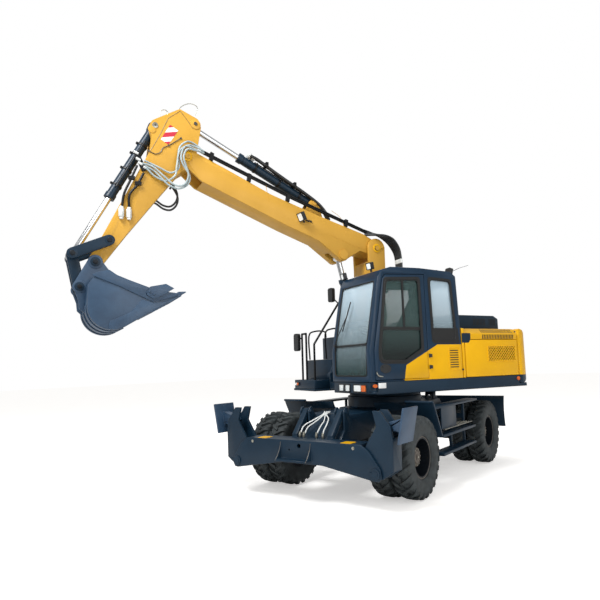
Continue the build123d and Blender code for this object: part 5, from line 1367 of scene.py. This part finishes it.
def cushion(name, half, place, lean):
    """A padded block of half sizes (length, width, thickness), tipped back by lean degrees."""
    bm = bmesh.new()
    bmesh.ops.create_cube(bm, size=2.0)
    bmesh.ops.subdivide_edges(bm, edges=bm.edges, cuts=12, use_grid_fill=True)
    bend = Matrix.Translation(place) @ Matrix.Rotation(math.radians(lean), 4, "Y")
    for vertex in bm.verts:
        u, v, w = vertex.co
        crown = 0.52 + 0.48 * ((1 - u ** 4) * (1 - v ** 4)) ** 0.5
        crease = 0.07 * math.exp(-((abs(v) - 0.58) / 0.06) ** 2)
        bow = 1 - 0.045 * w * w
        x, y = pulled(half, u, v)
        vertex.co = Vector((x * bow, y * bow, w * half[2] * (crown - (crease if w > 0.5 else 0.0))))
    bm.transform(bend)
    made = piece(name, bm, SEAT_CLOTH, "upper")
    soft = made.modifiers.new("soft", "SUBSURF")
    soft.levels = soft.render_levels = 1
    baked = bpy.data.meshes.new_from_object(made.evaluated_get(bpy.context.evaluated_depsgraph_get()))
    made.modifiers.remove(soft)
    made.data = baked
    seam = []
    for a in turns(64):
        grow = 1 / max(abs(math.cos(a)), abs(math.sin(a)))
        seam.append(bend @ Vector((*pulled(half, math.cos(a) * grow, math.sin(a) * grow), 0.0)))
    build(name + "_piping", PIPING, "upper", (bead, seam, 0.0055))
    return made


seat = cushion("seat_cushion", (0.245, SEAT_HALF, 0.072), (0.165, SEAT_Y, 1.820), -4)
back = cushion("seat_back", (0.320, SEAT_HALF - 0.025, 0.066), (-0.055, SEAT_Y, 2.190), BACK_LEAN)
rest = cushion("head_restraint", (0.095, 0.140, 0.050), (-0.142, SEAT_Y, 2.560), BACK_LEAN)
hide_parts("driver_seat")
print("cushions", [len(c.data.polygons) for c in (seat, back, rest)])

# %% [markdown]
# Below the seat stands its sprung base in folds, two thin rods carry the head restraint, and a console with
# an armrest and a lever stands on each side. The steering column carries a small panel and the wheel with
# three spokes, and two pedals stand at its foot.

# %% Consoles, levers and steering wheel
FLOOR_TOP = 1.480
FOLD = 0.045
CONSOLE = [(-0.05, 1.56), (0.30, 1.50), (0.42, 1.86), (0.44, 2.03), (0.30, 2.06), (-0.05, 2.00)]
ARMREST = [(-0.10, 2.062), (0.24, 2.080), (0.25, 2.112), (-0.10, 2.098)]
base = []
for k in range(6):
    shrink = 0.0 if k % 2 else 0.018
    fold = rectangle(-0.08 + shrink, 0.36 - shrink, SEAT_Y - 0.20 + shrink, SEAT_Y + 0.20 - shrink, 0.04)
    base.append((prism, fold, "xy", FLOOR_TOP + FOLD * k, FLOOR_TOP + FOLD * (k + 1)))
for y in (SEAT_Y - 0.06, SEAT_Y + 0.06):
    base.append((tube, [(-0.118, y, 2.420), (-0.135, y, 2.520)], 0.009))
build("seat_suspension", PLASTIC, "upper", *base)
desk = []
for y in (SEAT_Y + SEAT_HALF + 0.055, SEAT_Y - SEAT_HALF - 0.055):
    desk += [
        (prism, rounded(CONSOLE, 0.04), "xz", y - 0.043, y + 0.043),
        (prism, rounded(ARMREST, 0.014), "xz", y - 0.036, y + 0.036),
        (tube, [(0.355, y, 2.030), (0.362, y, 2.140)], 0.012, 12),
        (hose, [(0.362, y, 2.130), (0.372, y, 2.180), (0.366, y, 2.245)], 0.024, 14, 4)]
build("side_consoles", PLASTIC, "upper", *desk, ease=0.006)
wheel = Vector((0.755, SEAT_Y, 2.165))
tip = Matrix.Rotation(math.radians(-35), 4, "Y")
build("steering_column", PLASTIC, "upper",
      (prism, rounded([(0.83, FLOOR_TOP), (0.96, FLOOR_TOP), (0.862, 2.06), (0.800, 2.04)], 0.02), "xz",
       SEAT_Y - 0.055, SEAT_Y + 0.055),
      (prism, rounded([(0.800, 2.02), (0.900, 2.00), (0.905, 2.13), (0.850, 2.15)], 0.02), "xz",
       SEAT_Y - 0.120, SEAT_Y + 0.120),
      (bead, [wheel + tip @ Vector((x, y, 0)) for x, y in oval((0, 0), 0.180, sides=40)], 0.014, 10),
      *[(tube, [wheel, wheel + tip @ Vector((0.178 * math.sin(a), 0.178 * math.cos(a), 0))], 0.010, 8)
        for a in (0.5, math.pi - 0.5, 1.5 * math.pi)],
      (tube, [wheel + tip @ Vector((0, 0, 0.018)), (0.835, SEAT_Y, 2.050)], 0.030, 16),
      *[(prism, [(0.93, 1.49), (0.99, 1.49), (1.04, 1.60), (1.02, 1.61)], "xz", y - 0.045, y + 0.045)
        for y in (SEAT_Y - 0.09, SEAT_Y + 0.09)], ease=0.003)
print("driver's place set")

# %% [markdown]
# Mirrors. One hangs from the guard rail beside the boom and one from the rail of the front deck; each is a
# rounded black shell with a flat glass and a bent tube for an arm.

# %% Mirrors


def mirror(name, x, y, z, arm, half_y, half_z):
    """A mirror head at a place, on a tube that follows the arm's points."""
    face = rectangle(y - half_y, y + half_y, z - half_z, z + half_z, half_y * 0.7)
    build(name + "_shell", PLASTIC, "upper", (prism, face, "yz", x - 0.028, x + 0.028),
          ease=0.012, segments=3)
    build(name + "_glass", MIRROR_GLASS, "upper", (prism, inset(face, 0.014), "yz", x - 0.031, x - 0.027))
    build(name + "_arm", BLACK, "upper", (hose, arm, 0.011, 10, 5))


mirror("rail_mirror", 0.640, -0.500, 2.900,
       [(0.560, -0.405, 2.740), (0.600, -0.440, 2.800), (0.640, -0.490, 2.860)], 0.075, 0.120)
mirror("deck_mirror", 1.060, -1.000, 2.130,
       [(1.040, -0.850, 2.180), (1.050, -0.920, 2.200), (1.060, -0.990, 2.160)], 0.080, 0.150)
print("mirrors hung")

# %% [markdown]
# The tail. The counterweight has two joint lines, a pocket with a red and an amber lamp on each side, and
# lifting eyes on top.

# %% Tail
TAIL_X = -2.138
# columns: name, finish, reach from the lamps' middle, height span, corner radius, depth span from the tail
TAIL_PLATES = [
    ("tail_pockets", PLASTIC, (-0.110, 0.110), (1.500, 1.590), 0.02, (-0.006, 0.020)),
    ("tail_lamps", RED_LENS, (-0.096, 0.0), (1.512, 1.578), 0.012, (-0.012, 0.0)),
    ("tail_ambers", AMBER, (0.008, 0.096), (1.512, 1.578), 0.012, (-0.012, 0.0)),
]
for name, finish, reach, heights, corner, depths in TAIL_PLATES:
    build(name, finish, "upper",
          *[(prism, rectangle(y + reach[0], y + reach[1], *heights, corner), "yz", TAIL_X + depths[0],
             TAIL_X + depths[1]) for y in (0.800, -0.800)], ease=0.003)
build("tail_joint_lines", BLACK, "upper",
      *[(tube, [(TAIL_X - 0.001, y, 1.420), (TAIL_X - 0.001, y, 2.150)], 0.004, 6) for y in (-0.420, 0.420)])
half_turn = [math.pi * k / 12 for k in range(13)]
build("lifting_eyes", BLACK, "upper",
      *[(tube, [(-1.930 + 0.055 * math.cos(a), y, 2.205 + 0.075 * math.sin(a)) for a in half_turn], 0.012)
        for y in (0.620, -0.620)])
print("tail dressed")

# %% [markdown]
# The right side repeats the slots and locks of the left one and carries the tank's cap, its handrails and a
# studded step. The hood has ribs on top.

# %% Right side, tank and hood
# The right side's slots are not cut: their black strips are painted shade where the openings are.
build("right_slots", BLACK, "service_door_right",
      *[(prism, rectangle(x - 0.095, x + 0.095, z, z + 0.016, 0.007), "xz", -1.2545, -1.2505)
        for z in [1.600 + 0.034 * row for row in range(10)] for x in (-1.560, -1.330)])
build("right_locks", ZINC, "service_door_right",
      *[(disc, (-0.700, -1.250, z), (0, -1, 0), 0.026, 0.006) for z in (1.560, 1.950)])
build("tank_cap", PLASTIC, "upper", (disc, (0.180, -0.900, 2.213), (0, 0, 1), 0.085, 0.018, 36),
      (disc, (0.180, -0.900, 2.228), (0, 0, 1), 0.062, 0.038, 12), ease=0.004)
build("tank_handrails", BLACK, "upper",
      *[(hose, on_side([(0.740, 1.830), (0.750, 2.240), (0.640, 2.330), (0.430, 2.330), (0.400, 2.220)], y),
         0.014, 10, 4) for y in (-1.150, -0.560)])
build("hood_ribs", DARK, "engine_hood",
      *[(prism, rectangle(x - 0.022, x + 0.022, -0.780, 0.780, 0.02), "xy", 2.452, 2.466)
        for x in [-0.820 - 0.100 * k for k in range(9)]], ease=0.004)
build("tank_step_studs", ZINC, "upper",
      *[(disc, (0.455 + 0.090 * row, -1.190 + 0.036 * column, 1.818), (0, 0, 1), 0.011, 0.006, 8)
        for row in range(4) for column in range(22)])
print("right side dressed")

# %% [markdown]
# The camera stands where the photographer stood, found from the machine's known sizes: 1.7 m up and 8.6 m
# away, with a moderate wide lens.

# %% Camera
CAMERA_PLACE = Vector((7.646, 3.997, 1.712))
CAMERA_YAW, CAMERA_PITCH, CAMERA_ROLL = [math.radians(angle) for angle in (214.39, 5.956, -1.762)]
LENS_MM = 31.15
SHIFT = (-0.0316, 0.0201)


def aim(yaw, pitch, roll):
    """A camera's rotation from where it looks and how it is tipped."""
    ahead = Vector((math.cos(yaw) * math.cos(pitch), math.sin(yaw) * math.cos(pitch), math.sin(pitch)))
    side = ahead.cross(Vector((0, 0, 1))).normalized()
    top = side.cross(ahead)
    right = math.cos(roll) * side + math.sin(roll) * top
    up = -math.sin(roll) * side + math.cos(roll) * top
    return Matrix((right, up, -ahead)).transposed()


lens = bpy.data.cameras.new("photo_camera")
lens.lens = LENS_MM
lens.sensor_width = 36.0
lens.sensor_fit = "HORIZONTAL"
lens.shift_x, lens.shift_y = SHIFT
lens.clip_end = 200.0
camera = bpy.data.objects.new("photo_camera", lens)
camera.matrix_world = Matrix.Translation(CAMERA_PLACE) @ aim(CAMERA_YAW, CAMERA_PITCH, CAMERA_ROLL).to_4x4()
bpy.context.scene.collection.objects.link(camera)
bpy.context.scene.camera = camera
bpy.context.scene.view_settings.view_transform = "Standard"
print("camera", [round(c, 3) for c in CAMERA_PLACE])

# %% [markdown]
# The studio: a pale floor without a horizon and a bright even sky. A soft key stands high on the camera's
# left, a wide fill on its right and a rim light behind the machine. The sky and the floor look brighter to
# the camera than they light the machine, which gives the white ground and keeps the soft shadow.

# %% Studio
LAMP_TARGET = Vector((0, 0, 1.5))
REACH = 60.0
FLOOR_GLOW = 0.47
SKY_LIGHT, SKY_SEEN = 0.56, 1.0


def lamp(name, place, watts, size):
    """A square soft lamp that looks at the machine."""
    light = bpy.data.lights.new(name, "AREA")
    light.energy = watts
    light.size = size
    made = bpy.data.objects.new(name, light)
    made.location = place
    made.rotation_euler = (LAMP_TARGET - Vector(place)).to_track_quat("-Z", "Y").to_euler()
    bpy.context.scene.collection.objects.link(made)


lamp("key_lamp", (8.0, -0.6, 9.0), 860, 3.0)
lamp("fill_lamp", (5.0, 9.0, 5.0), 300, 6.0)
lamp("rim_lamp", (-8.0, -4.0, 8.0), 340, 5.0)

world = bpy.data.worlds.new("studio_sky")
bpy.context.scene.world = world
world.use_nodes = True
sky = world.node_tree
sky.nodes.clear()
ray = node(sky, "ShaderNodeLightPath").outputs
seen = calc(sky, "MAXIMUM", ray["Is Camera Ray"], ray["Is Transmission Ray"])
strength = node(sky, "ShaderNodeMapRange", {"Value": seen}, {"To Min": SKY_LIGHT, "To Max": SKY_SEEN})
backdrop = node(sky, "ShaderNodeBackground", {"Strength": strength.outputs["Result"]},
                {"Color": (1.0, 1.0, 1.0, 1.0)})
node(sky, "ShaderNodeOutputWorld", {"Surface": backdrop.outputs["Background"]})

floor_mesh = bpy.data.meshes.new("studio_floor")
floor_mesh.from_pydata([(x, y, 0) for x, y in rectangle(-REACH, REACH, -REACH, REACH)], [], [(0, 1, 2, 3)])
floor = bpy.data.objects.new("studio_floor", floor_mesh)
bpy.context.scene.collection.objects.link(floor)
paint, tree, shader, coords = new_material(
    "pale_floor", {"Roughness": 0.9, "Specular IOR Level": 0.0, "Emission Color": (1.0, 0.985, 0.97, 1.0)})
tree.links.new(mottled(tree, ("#F4F3F1", "#F8F7F5"), 900, coords)[0], shader.inputs["Base Color"])
glow = calc(tree, "MULTIPLY", node(tree, "ShaderNodeLightPath").outputs["Is Camera Ray"], FLOOR_GLOW)
tree.links.new(glow, shader.inputs["Emission Strength"])
floor_mesh.materials.append(paint)
print("studio ready")
